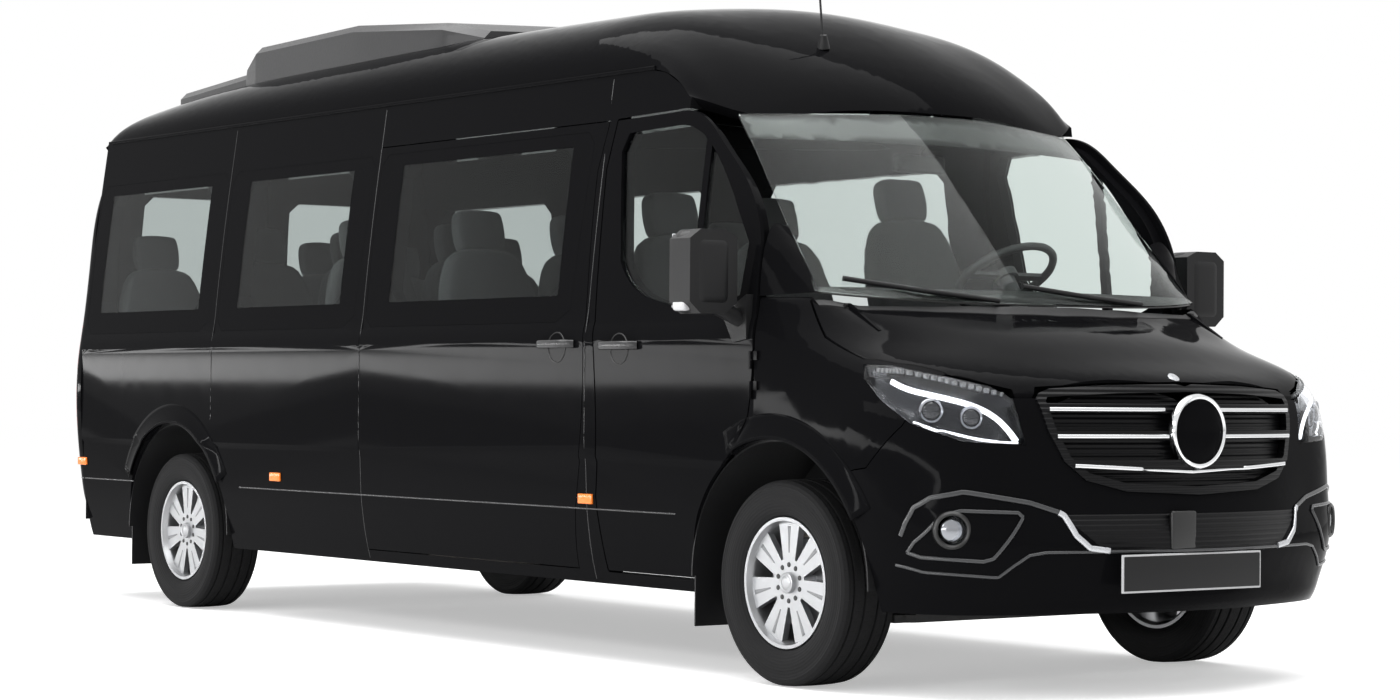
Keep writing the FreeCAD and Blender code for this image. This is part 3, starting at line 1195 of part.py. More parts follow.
def steering_wheel():
    ring_solid = Part.makeTorus(STEERING_WHEEL_RADIUS, STEERING_RIM_RADIUS)
    hub = Part.makeCylinder(3 * STEERING_RIM_RADIUS, 2 * STEERING_RIM_RADIUS, Vector(0, 0, -STEERING_RIM_RADIUS))
    spokes = block(
        -STEERING_WHEEL_RADIUS, STEERING_WHEEL_RADIUS, -STEERING_RIM_RADIUS, STEERING_RIM_RADIUS,
        -STEERING_RIM_RADIUS / 2, STEERING_RIM_RADIUS / 2,
    )
    wheel = fused([ring_solid, hub, spokes])
    wheel.rotate(Vector(0, 0, 0), Vector(0, 0, 1), 90)
    centre, root = at(*WHEEL_HUB_SHARES), at(*COLUMN_ROOT_SHARES)
    lean = math.degrees(math.atan2(root.x - centre.x, centre.z - root.z))
    wheel.rotate(Vector(0, 0, 0), Vector(0, 1, 0), -lean)
    wheel.translate(centre)
    return wheel


# On the outside
COOLER_SHARES = [
    (-5.28, .50, 2.18, 2.325), (-5.08, .60, 2.20, 2.395), (-4.36, .64, 2.20, 2.43), (-4.33, .65, 2.20, 2.47),
    (-4.19, .68, 2.20, 2.53), (-3.30, .70, 2.20, 2.545), (-2.62, .68, 2.20, 2.495), (-2.42, .60, 2.20, 2.45),
]
COOLER_CORNER_SHARE = .03
MIRROR_DEPTH = 115.0
MIRROR_ARM_RADIUS = 28.0
ANTENNA_FOOT_SHARES = (-.62, -.30, 2.215)
ANTENNA_LENGTH = 330.0
ANTENNA_RADIUS = 4.0
WIPER_RADIUS = 9.0


def cooler_section(x, y, low, high):
    corner = COOLER_CORNER_SHARE
    return ring([
        at(x, -y, low), at(x, -y, high - 2 * corner), at(x, -y + corner, high - corner),
        at(x, 0, high), at(x, y - corner, high - corner), at(x, y, high - 2 * corner), at(x, y, low),
    ])


def air_conditioner():
    case = Part.makeLoft([cooler_section(*row) for row in COOLER_SHARES], True, True)
    foot = panel(full_width_rows(ROOF_ROW_SHARES, GRID_COLUMNS), 10 * ROOF_WALL, -SEAT_GAP)
    return max(case.cut(foot).Solids, key=lambda solid: solid.CenterOfMass.z)


def antenna():
    foot = at(*ANTENNA_FOOT_SHARES)
    lean = Vector(-.12, 0, 1)
    lean.normalize()
    base = Part.makeCone(6 * ANTENNA_RADIUS, 3 * ANTENNA_RADIUS, 12 * ANTENNA_RADIUS, foot, Vector(.25, -.2, 1))
    whole = fused([base, rod(foot, foot + lean * ANTENNA_LENGTH, ANTENNA_RADIUS)])
    return largest(whole.cut(ROOF))


def mirror():
    points = [(.0, 1.49), (.05, 1.512), (.15, 1.512), (.195, 1.48), (.195, 1.27), (.15, 1.232), (.05, 1.232), (.0, 1.27)]
    wire = ring([at(-.245, 1.055 + dy, z) for dy, z in points])
    shell = Part.Face(wire).extrude(Vector(MIRROR_DEPTH, 0, 0))
    arm = rod(at(-.18, 1.13, 1.27), at(-.17, .97, 1.20), MIRROR_ARM_RADIUS)
    foot = across(side_wire([(-.26, 1.235), (-.125, 1.30), (-.125, 1.15), (-.20, 1.14)]), .98 * DOOR_HALF_WIDTH, 1.02 * DOOR_HALF_WIDTH)
    door_body = side_slab(BODY_REAR_X, 2 * FRONT_AXLE_X, -SEAT_GAP, 4 * SIDE_WALL)
    return largest(fused([shell, arm, foot]).cut(door_body))


def on_screen(surface, up_share, across_share, height):
    u0, u1, v0, v1 = surface.bounds()
    u = u0 + (u1 - u0) * up_share
    v = v0 + (v1 - v0) * across_share
    normal = surface.normal(u, v)
    if normal.x < 0:
        normal = normal * -1
    return surface.value(u, v) + normal * height


def wipers():
    surface = skin(WINDSCREEN_GRID)
    blades = []
    for foot_share, tip_share in ((.76, .44), (.37, .06)):
        points = [
            on_screen(surface, 0, foot_share, WIPER_RADIUS + SEAT_GAP),
            on_screen(surface, .03, (foot_share + tip_share) / 2, WIPER_RADIUS + 2 * SEAT_GAP),
            on_screen(surface, .07, tip_share, WIPER_RADIUS + 2 * SEAT_GAP),
        ]
        blades.append(rod(points[0], points[1], WIPER_RADIUS).fuse(rod(points[1], points[2], WIPER_RADIUS)))
    return [blade.cut(panel(WINDSCREEN_GRID, 4 * PANE_WALL, -SEAT_GAP / 2)) for blade in blades]


REAR_BUMPER_SHARES = [(-5.05, .985), (-5.25, .985), (-5.36, .93), (-5.415, .78), (-5.43, .40), (-5.43, 0)]
REAR_BUMPER_LOW_SHARE = .36
REAR_BUMPER_HIGH_SHARE = .63
REAR_BUMPER_WALL = 70.0


def rear_bumper():
    outer = [at(x, -y, REAR_BUMPER_LOW_SHARE) for x, y in REAR_BUMPER_SHARES]
    outer += [at(x, y, REAR_BUMPER_LOW_SHARE) for x, y in reversed(REAR_BUMPER_SHARES[:-1])]
    wire = ring(outer)
    height = (REAR_BUMPER_HIGH_SHARE - REAR_BUMPER_LOW_SHARE) * LIP_HEIGHT
    solid = Part.Face(wire).extrude(Vector(0, 0, height))
    hollow = Part.Face(wire.makeOffset2D(-REAR_BUMPER_WALL, 0)).extrude(Vector(0, 0, height))
    front = block(REAR_CORNER_X - SEAT_GAP, FRONT_AXLE_X, -2 * DOOR_HALF_WIDTH, 2 * DOOR_HALF_WIDTH, 0, LIP_HEIGHT)
    return largest(solid.cut(hollow).cut(front).cut(REAR_SHELL))


# Write every piece
def write_all():
    left_side = body_side(False)
    right_side = mirrored(body_side(True))
    save("floor", floor_plate())
    save("chassis_rails", chassis_rails())
    save("body_side_left", left_side)
    save("body_side_right", right_side)
    save("sliding_door", mirrored(sliding_door()))
    save("roof", ROOF)
    save("rear_frame", rear_frame())
    near_pillar = pillar()
    save("front_frame", near_pillar, mirrored(near_pillar), firewall())
    wing = front_wing()
    save("front_wings", wing, mirrored(wing))
    save("front_bumper", front_bumper())
    save("bonnet", bonnet())
    save("scuttle", scuttle())
    save("grille", *grille())
    save("front_lamps", *front_lamps())
    save("windscreen", windscreen())
    save("side_glass_left", *[side_pane(index) for index in range(3)])
    save("side_glass_right", *[mirrored(side_pane(index)) for index in range(3)])
    lamp = tail_lamp()
    save("tail_lamps", lamp, mirrored(lamp))
    save("rear_bumper", rear_bumper())
    save("wheel_liners", *wheel_liners())
    save("engine", engine())
    save("front_suspension", front_suspension())
    save("rear_axle", rear_axle())
    save("fuel_tank", fuel_tank())
    save("exhaust", exhaust())
    save("dashboard", dashboard())
    save("steering_wheel", steering_wheel())
    save("front_seats", *front_seats())
    save("passenger_seats", *passenger_seats())
    save("air_conditioner", air_conditioner())
    save("antenna", antenna())
    save("wipers", *wipers())
    for name, place in (("left", lambda shape: shape), ("right", mirrored)):
        door = front_door()
        save("front_door_" + name, place(door))
        save("front_door_glass_" + name, place(front_door_glass()))
        save("mirror_" + name, place(mirror()))
        save("rear_door_" + name, place(rear_door()))
        save("rear_door_glass_" + name, place(rear_glass()))
        save("knuckle_" + name, place(knuckle()))
        side = 1 if name == "left" else -1
        for end, axle_x in (("front", FRONT_AXLE_X), ("rear", REAR_AXLE_X)):
            save("tyre_" + end + "_" + name, tyre(side, axle_x))
            save("rim_" + end + "_" + name, rim(side, axle_x))


write_all()
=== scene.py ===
import json
from math import atan2, cos, pi, radians, sin

import bmesh
import bpy
from mathutils import Matrix, Vector
from mathutils.bvhtree import BVHTree


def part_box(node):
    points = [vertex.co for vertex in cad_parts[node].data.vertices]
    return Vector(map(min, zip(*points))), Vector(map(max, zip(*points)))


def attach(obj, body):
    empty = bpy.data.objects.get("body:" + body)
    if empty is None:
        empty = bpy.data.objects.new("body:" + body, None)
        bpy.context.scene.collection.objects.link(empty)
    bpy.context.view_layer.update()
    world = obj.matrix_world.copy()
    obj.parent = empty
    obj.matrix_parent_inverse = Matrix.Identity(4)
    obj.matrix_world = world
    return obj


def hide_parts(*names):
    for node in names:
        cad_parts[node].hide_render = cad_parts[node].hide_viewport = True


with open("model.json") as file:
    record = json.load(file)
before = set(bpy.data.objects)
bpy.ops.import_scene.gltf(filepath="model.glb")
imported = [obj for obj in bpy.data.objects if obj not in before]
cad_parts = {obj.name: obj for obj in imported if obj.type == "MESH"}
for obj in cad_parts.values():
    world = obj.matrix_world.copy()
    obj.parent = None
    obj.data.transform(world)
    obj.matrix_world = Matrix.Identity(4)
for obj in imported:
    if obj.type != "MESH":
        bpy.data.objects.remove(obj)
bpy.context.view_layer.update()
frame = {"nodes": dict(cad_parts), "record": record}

# Camera
# It stands ahead of the minibus on its right, a little below the middle of the side, where the
# photograph was taken from.
CAMERA_PLACE = (10.195, -7.21, 0.97)
CAMERA_HEADING = radians(53.49)
CAMERA_LIFT = radians(90.8)
CAMERA_LEAN = radians(0.41)
CAMERA_LENS = 78.76
FAR_CLIP = 200

lens_data = bpy.data.cameras.new("photo_camera")
lens_data.lens = CAMERA_LENS
lens_data.clip_end = FAR_CLIP
camera = bpy.data.objects.new("photo_camera", lens_data)
heading = Matrix.Rotation(CAMERA_HEADING, 4, "Z")
lift = Matrix.Rotation(CAMERA_LIFT, 4, "X")
lean = Matrix.Rotation(CAMERA_LEAN, 4, "Z")
camera.matrix_world = Matrix.Translation(CAMERA_PLACE) @ heading @ lift @ lean
bpy.context.scene.collection.objects.link(camera)
bpy.context.scene.camera = camera

# Studio
# A pale seamless floor under a surround that is plain white wherever it is seen or mirrored. A broad
# soft box overhead and a long one beside the camera light it, and a low strip lights the body's side.
FLOOR_HALF = 60
FLOOR_PAINT = (0.93, 0.93, 0.93, 1)
FLOOR_GLOW = 0.42
SURROUND_LIGHT = 0.62
SURROUND_SEEN = 1.0
SURROUND_WHITE = (1, 1, 1, 1)

bpy.context.scene.view_settings.view_transform = "Standard"


def plain_material(name):
    material = bpy.data.materials.new(name)
    material.use_nodes = True
    tree = material.node_tree
    return material, tree.nodes, tree.links, tree.nodes["Principled BSDF"]


def meshed(name, shape):
    mesh = bpy.data.meshes.new(name)
    shape.to_mesh(mesh)
    shape.free()
    return mesh


shape = bmesh.new()
bmesh.ops.create_grid(shape, x_segments=2, y_segments=2, size=FLOOR_HALF)
floor_mesh = meshed("studio_floor", shape)
floor = bpy.data.objects.new("studio_floor", floor_mesh)
bpy.context.scene.collection.objects.link(floor)
floor_paint, nodes, links, shader = plain_material("studio_floor_paint")
shader.inputs["Base Color"].default_value = FLOOR_PAINT
shader.inputs["Roughness"].default_value = 1
shader.inputs["Specular IOR Level"].default_value = 0
direct = nodes.new("ShaderNodeLightPath")
shade = nodes.new("ShaderNodeMath")
shade.operation = "MULTIPLY"
shade.inputs[1].default_value = FLOOR_GLOW
links.new(direct.outputs["Is Camera Ray"], shade.inputs[0])
glow = nodes.new("ShaderNodeEmission")
links.new(shade.outputs[0], glow.inputs["Strength"])
joined = nodes.new("ShaderNodeAddShader")
links.new(shader.outputs[0], joined.inputs[0])
links.new(glow.outputs[0], joined.inputs[1])
links.new(joined.outputs[0], nodes["Material Output"].inputs["Surface"])
floor_mesh.materials.append(floor_paint)

surround = bpy.data.worlds.new("white_surround")
surround.use_nodes = True
nodes, links = surround.node_tree.nodes, surround.node_tree.links
rays = nodes.new("ShaderNodeLightPath")
seen = nodes.new("ShaderNodeMath")
seen.operation = "MAXIMUM"
links.new(rays.outputs["Is Camera Ray"], seen.inputs[0])
links.new(rays.outputs["Is Glossy Ray"], seen.inputs[1])
shown = nodes.new("ShaderNodeMath")
shown.operation = "MAXIMUM"
links.new(seen.outputs[0], shown.inputs[0])
links.new(rays.outputs["Is Transmission Ray"], shown.inputs[1])
level = nodes.new("ShaderNodeMapRange")
level.inputs["To Min"].default_value = SURROUND_LIGHT
level.inputs["To Max"].default_value = SURROUND_SEEN
links.new(shown.outputs[0], level.inputs["Value"])
links.new(level.outputs[0], nodes["Background"].inputs["Strength"])
nodes["Background"].inputs["Color"].default_value = SURROUND_WHITE
bpy.context.scene.world = surround


def soft_box(name, place, aim, width, height, power):
    data = bpy.data.lights.new(name, "AREA")
    data.shape = "RECTANGLE"
    data.size, data.size_y = width, height
    data.energy = power
    lamp = bpy.data.objects.new(name, data)
    lamp.location = place
    lamp.rotation_euler = (Vector(aim) - Vector(place)).to_track_quat("-Z", "Y").to_euler()
    bpy.context.scene.collection.objects.link(lamp)
    return lamp


soft_box("overhead_box", place=(0.5, -1.0, 7.5), aim=(0, 0, 1), width=13.0, height=8.0, power=1100)
soft_box("side_box", place=(1.0, -9.5, 4.6), aim=(0, 0, 1.4), width=9.0, height=1.6, power=260)
low_strip = soft_box(
    "low_strip", place=(-9.0, -9.5, 1.15), aim=(-9.0, 0, 1.15), width=40.0, height=0.25, power=700
)
low_strip.visible_camera = False

# Body shell
# Pressed steel sides, roof, wings, doors and corner posts, welded or hinged together and sprayed
# gloss black under clear lacquer. Places along the body are measured from the front axle.
AXLE_X = 2.215
CAD_MERGE = 0.00004
SHARP_TURN = radians(30)
BEYOND = 5.0
SIDE_FALLBACK = 1.0
NOSE_FALLBACK = 3.0
TOP_FALLBACK = 1.2
GRAIN_DETAIL = 4
RELIEF_STRENGTH = 0.6
STRIP_ROUND = 2
STRIP_STEPS = 5

record_bodies = {
    node: body for body, members in frame["record"]["behaviour"]["bodies"].items() for node in members
}


def fine_grain_group():
    group = bpy.data.node_groups.new("fine_grain", "ShaderNodeTree")
    group.interface.new_socket("Color", in_out="INPUT", socket_type="NodeSocketColor")
    for label in ("Roughness", "Scale", "Spread"):
        group.interface.new_socket(label, in_out="INPUT", socket_type="NodeSocketFloat")
    group.interface.new_socket("Color", in_out="OUTPUT", socket_type="NodeSocketColor")
    for label in ("Roughness", "Height"):
        group.interface.new_socket(label, in_out="OUTPUT", socket_type="NodeSocketFloat")
    nodes, links = group.nodes, group.links
    given, result = nodes.new("NodeGroupInput"), nodes.new("NodeGroupOutput")
    place = nodes.new("ShaderNodeTexCoord")
    noise = nodes.new("ShaderNodeTexNoise")
    noise.inputs["Detail"].default_value = GRAIN_DETAIL
    links.new(place.outputs["Object"], noise.inputs["Vector"])
    links.new(given.outputs["Scale"], noise.inputs["Scale"])
    centred = nodes.new("ShaderNodeMath")
    centred.operation = "SUBTRACT"
    links.new(noise.outputs[0], centred.inputs[0])
    centred.inputs[1].default_value = 0.5
    swing = nodes.new("ShaderNodeMath")
    swing.operation = "MULTIPLY"
    links.new(centred.outputs[0], swing.inputs[0])
    links.new(given.outputs["Spread"], swing.inputs[1])
    rough = nodes.new("ShaderNodeMath")
    rough.operation = "ADD"
    rough.use_clamp = True
    links.new(given.outputs["Roughness"], rough.inputs[0])
    links.new(swing.outputs[0], rough.inputs[1])
    gain = nodes.new("ShaderNodeMath")
    gain.operation = "ADD"
    gain.inputs[0].default_value = 1
    links.new(swing.outputs[0], gain.inputs[1])
    tinted = nodes.new("ShaderNodeVectorMath")
    tinted.operation = "SCALE"
    links.new(given.outputs["Color"], tinted.inputs[0])
    links.new(gain.outputs[0], tinted.inputs["Scale"])
    links.new(tinted.outputs[0], result.inputs["Color"])
    links.new(rough.outputs[0], result.inputs["Roughness"])
    links.new(noise.outputs[0], result.inputs["Height"])
    return group


fine_grain = fine_grain_group()


def grained(name, colour, rough, scale=40.0, spread=0.15, relief=0.0, **sockets):
    material, nodes, links, shader = plain_material(name)
    grain = nodes.new("ShaderNodeGroup")
    grain.node_tree = fine_grain
    grain.inputs["Color"].default_value = (*colour, 1)
    grain.inputs["Roughness"].default_value = rough
    grain.inputs["Scale"].default_value = scale
    grain.inputs["Spread"].default_value = spread
    links.new(grain.outputs["Color"], shader.inputs["Base Color"])
    links.new(grain.outputs["Roughness"], shader.inputs["Roughness"])
    if relief:
        bump = nodes.new("ShaderNodeBump")
        bump.inputs["Distance"].default_value = relief
        bump.inputs["Strength"].default_value = RELIEF_STRENGTH
        links.new(grain.outputs["Height"], bump.inputs["Height"])
        links.new(bump.outputs["Normal"], shader.inputs["Normal"])
    for label, value in sockets.items():
        shader.inputs[label.replace("_", " ").title().replace("Ior", "IOR")].default_value = value
    return material


def cad_copy(node):
    shape = bmesh.new()
    shape.from_mesh(frame["nodes"][node].data)
    bmesh.ops.remove_doubles(shape, verts=shape.verts, dist=CAD_MERGE)
    return shape


def smoothed(node, finish):
    shape = cad_copy(node)
    for face in shape.faces:
        face.smooth = True
    for edge in shape.edges:
        edge.smooth = edge.is_manifold and edge.calc_face_angle(0.0) < SHARP_TURN
    mesh = meshed(node + "_finished", shape)
    mesh.materials.append(finish)
    piece = bpy.data.objects.new(node + "_finished", mesh)
    bpy.context.scene.collection.objects.link(piece)
    even = piece.modifiers.new("even_normals", "WEIGHTED_NORMAL")
    even.keep_sharp = True
    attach(piece, record_bodies[node])
    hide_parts(node)
    return piece


def placed(name, mesh, finish, body, crease=35.0):
    for face in mesh.polygons:
        face.use_smooth = True
    mesh.set_sharp_from_angle(angle=radians(crease))
    if not mesh.materials:
        mesh.materials.append(finish)
    piece = bpy.data.objects.new(name, mesh)
    bpy.context.scene.collection.objects.link(piece)
    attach(piece, body)
    return piece


def skin_of(*nodes):
    shape = bmesh.new()
    for node in nodes:
        shape.from_mesh(frame["nodes"][node].data)
    tree = BVHTree.FromBMesh(shape)
    shape.free()
    return tree


SIDE_SKIN = skin_of(
    "body_side_right", "sliding_door", "front_door_right", "front_wings", "rear_frame", "roof",
    "front_bumper", "body_side_left", "front_door_left", "front_door_glass_right", "front_door_glass_left",
)
NOSE_SKIN = skin_of("front_bumper", "front_wings", "bonnet", "front_lamps", "grille")


def on_side(x, z, proud, side):
    found = SIDE_SKIN.ray_cast(Vector((x, side * BEYOND, z)), Vector((0, -side, 0)))[0]
    return Vector((x, (found.y if found else side * SIDE_FALLBACK) + side * proud, z))


def on_nose(y, z, proud=0.0):
    found = NOSE_SKIN.ray_cast(Vector((BEYOND, y, z)), Vector((-1, 0, 0)))[0]
    return Vector(((found.x if found else NOSE_FALLBACK) + proud, y, z))


def on_top(x, y, proud):
    found = NOSE_SKIN.ray_cast(Vector((x, y, BEYOND)), Vector((0, 0, -1)))[0]
    return Vector((x, y, (found.z if found else TOP_FALLBACK) + proud))


def strip(name, points, height, thickness, finish, body, closed=False):
    path = bpy.data.curves.new(name + "_path", "CURVE")
    path.dimensions = "3D"
    path.twist_mode = "Z_UP"
    path.use_fill_caps = True
    path.extrude = max(height - thickness, 0) / 2
    path.bevel_depth = thickness / 2
    path.bevel_resolution = STRIP_ROUND
    line = path.splines.new("NURBS")
    line.points.add(len(points) - 1)
    for place, point in zip(line.points, points):
        place.co = (*point, 1)
    line.order_u = 3
    line.use_endpoint_u = not closed
    line.use_cyclic_u = closed
    line.resolution_u = STRIP_STEPS
    carrier = bpy.data.objects.new(name + "_path", path)
    bpy.context.scene.collection.objects.link(carrier)
    drawn = bpy.context.evaluated_depsgraph_get()
    mesh = bpy.data.meshes.new_from_object(carrier.evaluated_get(drawn))
    bpy.data.objects.remove(carrier)
    mesh.materials.clear()
    return placed(name, mesh, finish, body)


black_paint = grained(
    "gloss_black_paint", (0.004, 0.004, 0.0045), 0.05, scale=9.0, spread=0.04, specular_ior_level=0.012
)
for node in (
    "body_side_left", "body_side_right", "sliding_door", "roof", "rear_frame", "front_frame",
    "front_wings", "front_bumper", "bonnet", "front_door_left", "front_door_right", "rear_door_left",
    "rear_door_right",
):
    smoothed(node, black_paint)

# Body seams and mouldings
# The thin dark joints between the side panels, the crease folded low along them and the drip rail
# welded on under the roof, all of the same steel.
SIDES = ((-1, "right"), (1, "left"))
SEAM_LOW = 0.30
SEAM_HIGH = 2.11
SEAM_PITCH = 0.06
SEAM_WIDTH = 0.004
SEAM_PROUD = 0.0002
ARCH_TOP = 0.83
SEAMS = (("front_seam", -1.09, SEAM_LOW), ("middle_seam", -2.69, SEAM_LOW), ("rear_seam", -3.96, ARCH_TOP))
CREASE_Z = 0.552
CREASES = (("low_crease", -3.72, -0.55), ("low_crease_rear", -5.30, -4.72))
RAIL_Z = 2.122
RAIL_ENDS = (-5.20, -0.84)
RAIL_PROUD = 0.002
seam_paint = grained("seam_black", (0.012, 0.012, 0.013), 0.25, 60.0, 0.1)


def along_side(rear, front, z, proud, side, steps):
    places = [AXLE_X + rear + (front - rear) * step / steps for step in range(steps + 1)]
    return [on_side(x, z, proud, side) for x in places]


for side, label in SIDES:
    for name, x, lowest in SEAMS:
        heights = [SEAM_LOW + SEAM_PITCH * step for step in range(31)]
        points = [on_side(AXLE_X + x, z, SEAM_PROUD, side) for z in heights if lowest <= z < SEAM_HIGH]
        strip(name + "_" + label, points, SEAM_WIDTH, SEAM_WIDTH, seam_paint, "body")
    for name, rear, front in CREASES:
        points = along_side(rear, front, CREASE_Z, 0.0, side, steps=24)
        strip(name + "_" + label, points, 0.006, 0.004, seam_paint, "body")
    points = along_side(*RAIL_ENDS, RAIL_Z, RAIL_PROUD, side, steps=30)
    strip("drip_rail_" + label, points, 0.016, 0.010, black_paint, "body")

# Wheel arch lips
# The flared edges of the wheel arches, rolled outwards from the side panels and painted with them.
# The front ones stop at the bumper.
WHEELBASE = 4.325
AXLE_Z = 0.343
ARCH_RADIUS = 0.476
SKIN_RADIUS = 0.485
LIP_REACH = 0.085
LIP_PROUD = 0.016
LIP_SEAT = 0.0006
LIP_WALL = 0.003
FRONT_SWEEP = (-28, 62)
REAR_SWEEP = (-62, 62)


def walled(piece, thickness):
    wall = piece.modifiers.new("wall", "SOLIDIFY")
    wall.thickness = thickness
    wall.offset = -1


def outward(shape, direction):
    bmesh.ops.recalc_face_normals(shape, faces=shape.faces)
    if sum(face.normal.dot(direction) for face in shape.faces) < 0:
        bmesh.ops.reverse_faces(shape, faces=shape.faces)


def arch_flare(name, axle_x, side, first, last):
    shape = bmesh.new()
    bmesh.ops.create_grid(shape, x_segments=40, y_segments=6, size=0.5)
    for vert in shape.verts:
        turn = radians(first + (last - first) * (vert.co.x + 0.5))
        share = vert.co.y + 0.5
        radius = ARCH_RADIUS + LIP_REACH * share
        on_skin = max(radius, SKIN_RADIUS)
        proud = LIP_PROUD * (1 - share) ** 1.5 + LIP_SEAT
        vert.co = on_side(axle_x + on_skin * sin(turn), AXLE_Z + on_skin * cos(turn), proud, side)
        vert.co.x, vert.co.z = axle_x + radius * sin(turn), AXLE_Z + radius * cos(turn)
    outward(shape, Vector((0, side, 0)))
    piece = placed(name, meshed(name, shape), black_paint, "body")
    walled(piece, LIP_WALL)


for side, label in SIDES:
    arch_flare("front_arch_lip_" + label, AXLE_X, side, *FRONT_SWEEP)
    arch_flare("rear_arch_lip_" + label, AXLE_X - WHEELBASE, side, *REAR_SWEEP)

# Dark plastic
# Unpainted plastic with a fine grain from its mould: scuttle tray, rear bumper, wheel liners, aerial,
# wiper arms and mirror arms, and the smoother casing of the air conditioner bolted to the roof.
black_plastic = grained(
    "moulded_black_plastic", (0.008, 0.008, 0.0085), 0.42, 160.0, 0.2, 0.0004, specular_ior_level=0.25
)
for node in ("scuttle", "rear_bumper", "wheel_liners", "antenna", "wipers", "mirror_left", "mirror_right"):
    smoothed(node, black_plastic)
cooler_plastic = grained("cooler_casing", (0.012, 0.012, 0.013), 0.34, 90.0, 0.2, 0.0006)
smoothed("air_conditioner", cooler_plastic)

# Running gear
# Welded rails, axle, springs and arms in black chassis paint with a film of road dust, a cast iron
# engine, a steel exhaust and a plastic fuel tank.
chassis_paint = grained("chassis_black", (0.02, 0.02, 0.02), 0.6, 30.0, 0.3, 0.0006)
cast_iron = grained("cast_iron", (0.10, 0.09, 0.085), 0.7, 70.0, 0.4, 0.001, metallic=0.6)
exhaust_steel = grained("exhaust_steel", (0.28, 0.26, 0.24), 0.45, 25.0, 0.4, metallic=0.9)
for node in ("floor", "chassis_rails", "front_suspension", "rear_axle", "fuel_tank"):
    smoothed(node, chassis_paint)
for node in ("engine", "knuckle_left", "knuckle_right"):
    smoothed(node, cast_iron)
smoothed("exhaust", exhaust_steel)

# Tyres
# Black rubber moulded round a steel belt: four grooves run round the tread, sipes cross its blocks,
# and the sidewalls carry plain moulded rings.
TREAD_FLOOR = 0.332
TREAD_HALF = 0.1
TREAD_UNROLLED = 0.342
TYRE_STEPS = 96
SPUN_MERGE = 0.00002
WHEEL_Y = 0.855
TYRE_HALF = [
    (0.221, 0.088), (0.228, 0.098), (0.245, 0.107), (0.262, 0.1105), (0.268, 0.1120), (0.290, 0.1123),
    (0.296, 0.1108), (0.314, 0.1105), (0.318, 0.1118), (0.326, 0.1095), (0.334, 0.103), (0.3392, 0.0955),
    (0.3405, 0.078), (0.3330, 0.0765), (0.3330, 0.0705), (0.3415, 0.069), (0.3425, 0.033),
    (0.3340, 0.0315), (0.3340, 0.0240), (0.3428, 0.0225),
]
TYRE_BEADS = [(0.2195, -0.085), (0.2195, 0.085)]


def tyre_finish(name, on_tread):
    material = grained(name, (0.008, 0.008, 0.0085), 0.80, 300.0, 0.25, specular_ior_level=0.2)
    nodes, links = material.node_tree.nodes, material.node_tree.links
    shader = nodes["Principled BSDF"]
    spot = nodes.new("ShaderNodeUVMap")
    spot.uv_map = "round"
    bump = nodes.new("ShaderNodeBump")
    if on_tread:
        blocks = nodes.new("ShaderNodeTexBrick")
        blocks.inputs["Scale"].default_value = 1.0
        blocks.inputs["Mortar Size"].default_value = 0.0022
        blocks.inputs["Mortar Smooth"].default_value = 0.3
        blocks.inputs["Brick Width"].default_value = 0.034
        blocks.inputs["Row Height"].default_value = 0.022
        links.new(spot.outputs[0], blocks.inputs["Vector"])
        bump.invert = True
        bump.inputs["Distance"].default_value = 0.004
        links.new(blocks.outputs["Fac"], bump.inputs["Height"])
    else:
        rings = nodes.new("ShaderNodeTexWave")
        rings.bands_direction = "Y"
        rings.inputs["Scale"].default_value = 30.0
        links.new(spot.outputs[0], rings.inputs["Vector"])
        bump.inputs["Distance"].default_value = 0.0008
        links.new(rings.outputs["Fac"], bump.inputs["Height"])
    links.new(bump.outputs["Normal"], shader.inputs["Normal"])
    return material


def revolved(places, axis, steps, closed=False):
    shape = bmesh.new()
    verts = [shape.verts.new(place) for place in places]
    ends = verts[1:] + verts[:1] if closed else verts[1:]
    edges = [shape.edges.new(pair) for pair in zip(verts, ends)]
    bmesh.ops.spin(
        shape, geom=verts + edges, cent=(0, 0, 0), axis=axis, angle=2 * pi, steps=steps, use_merge=True
    )
    bmesh.ops.remove_doubles(shape, verts=shape.verts, dist=SPUN_MERGE)
    bmesh.ops.recalc_face_normals(shape, faces=shape.faces)
    return shape


def turn_beside(place, start):
    turn = atan2(place.x, place.z)
    if turn - start > pi:
        turn -= 2 * pi
    if start - turn > pi:
        turn += 2 * pi
    return turn


def from_axle(place):
    return Vector((place.x, 0, place.z)).length


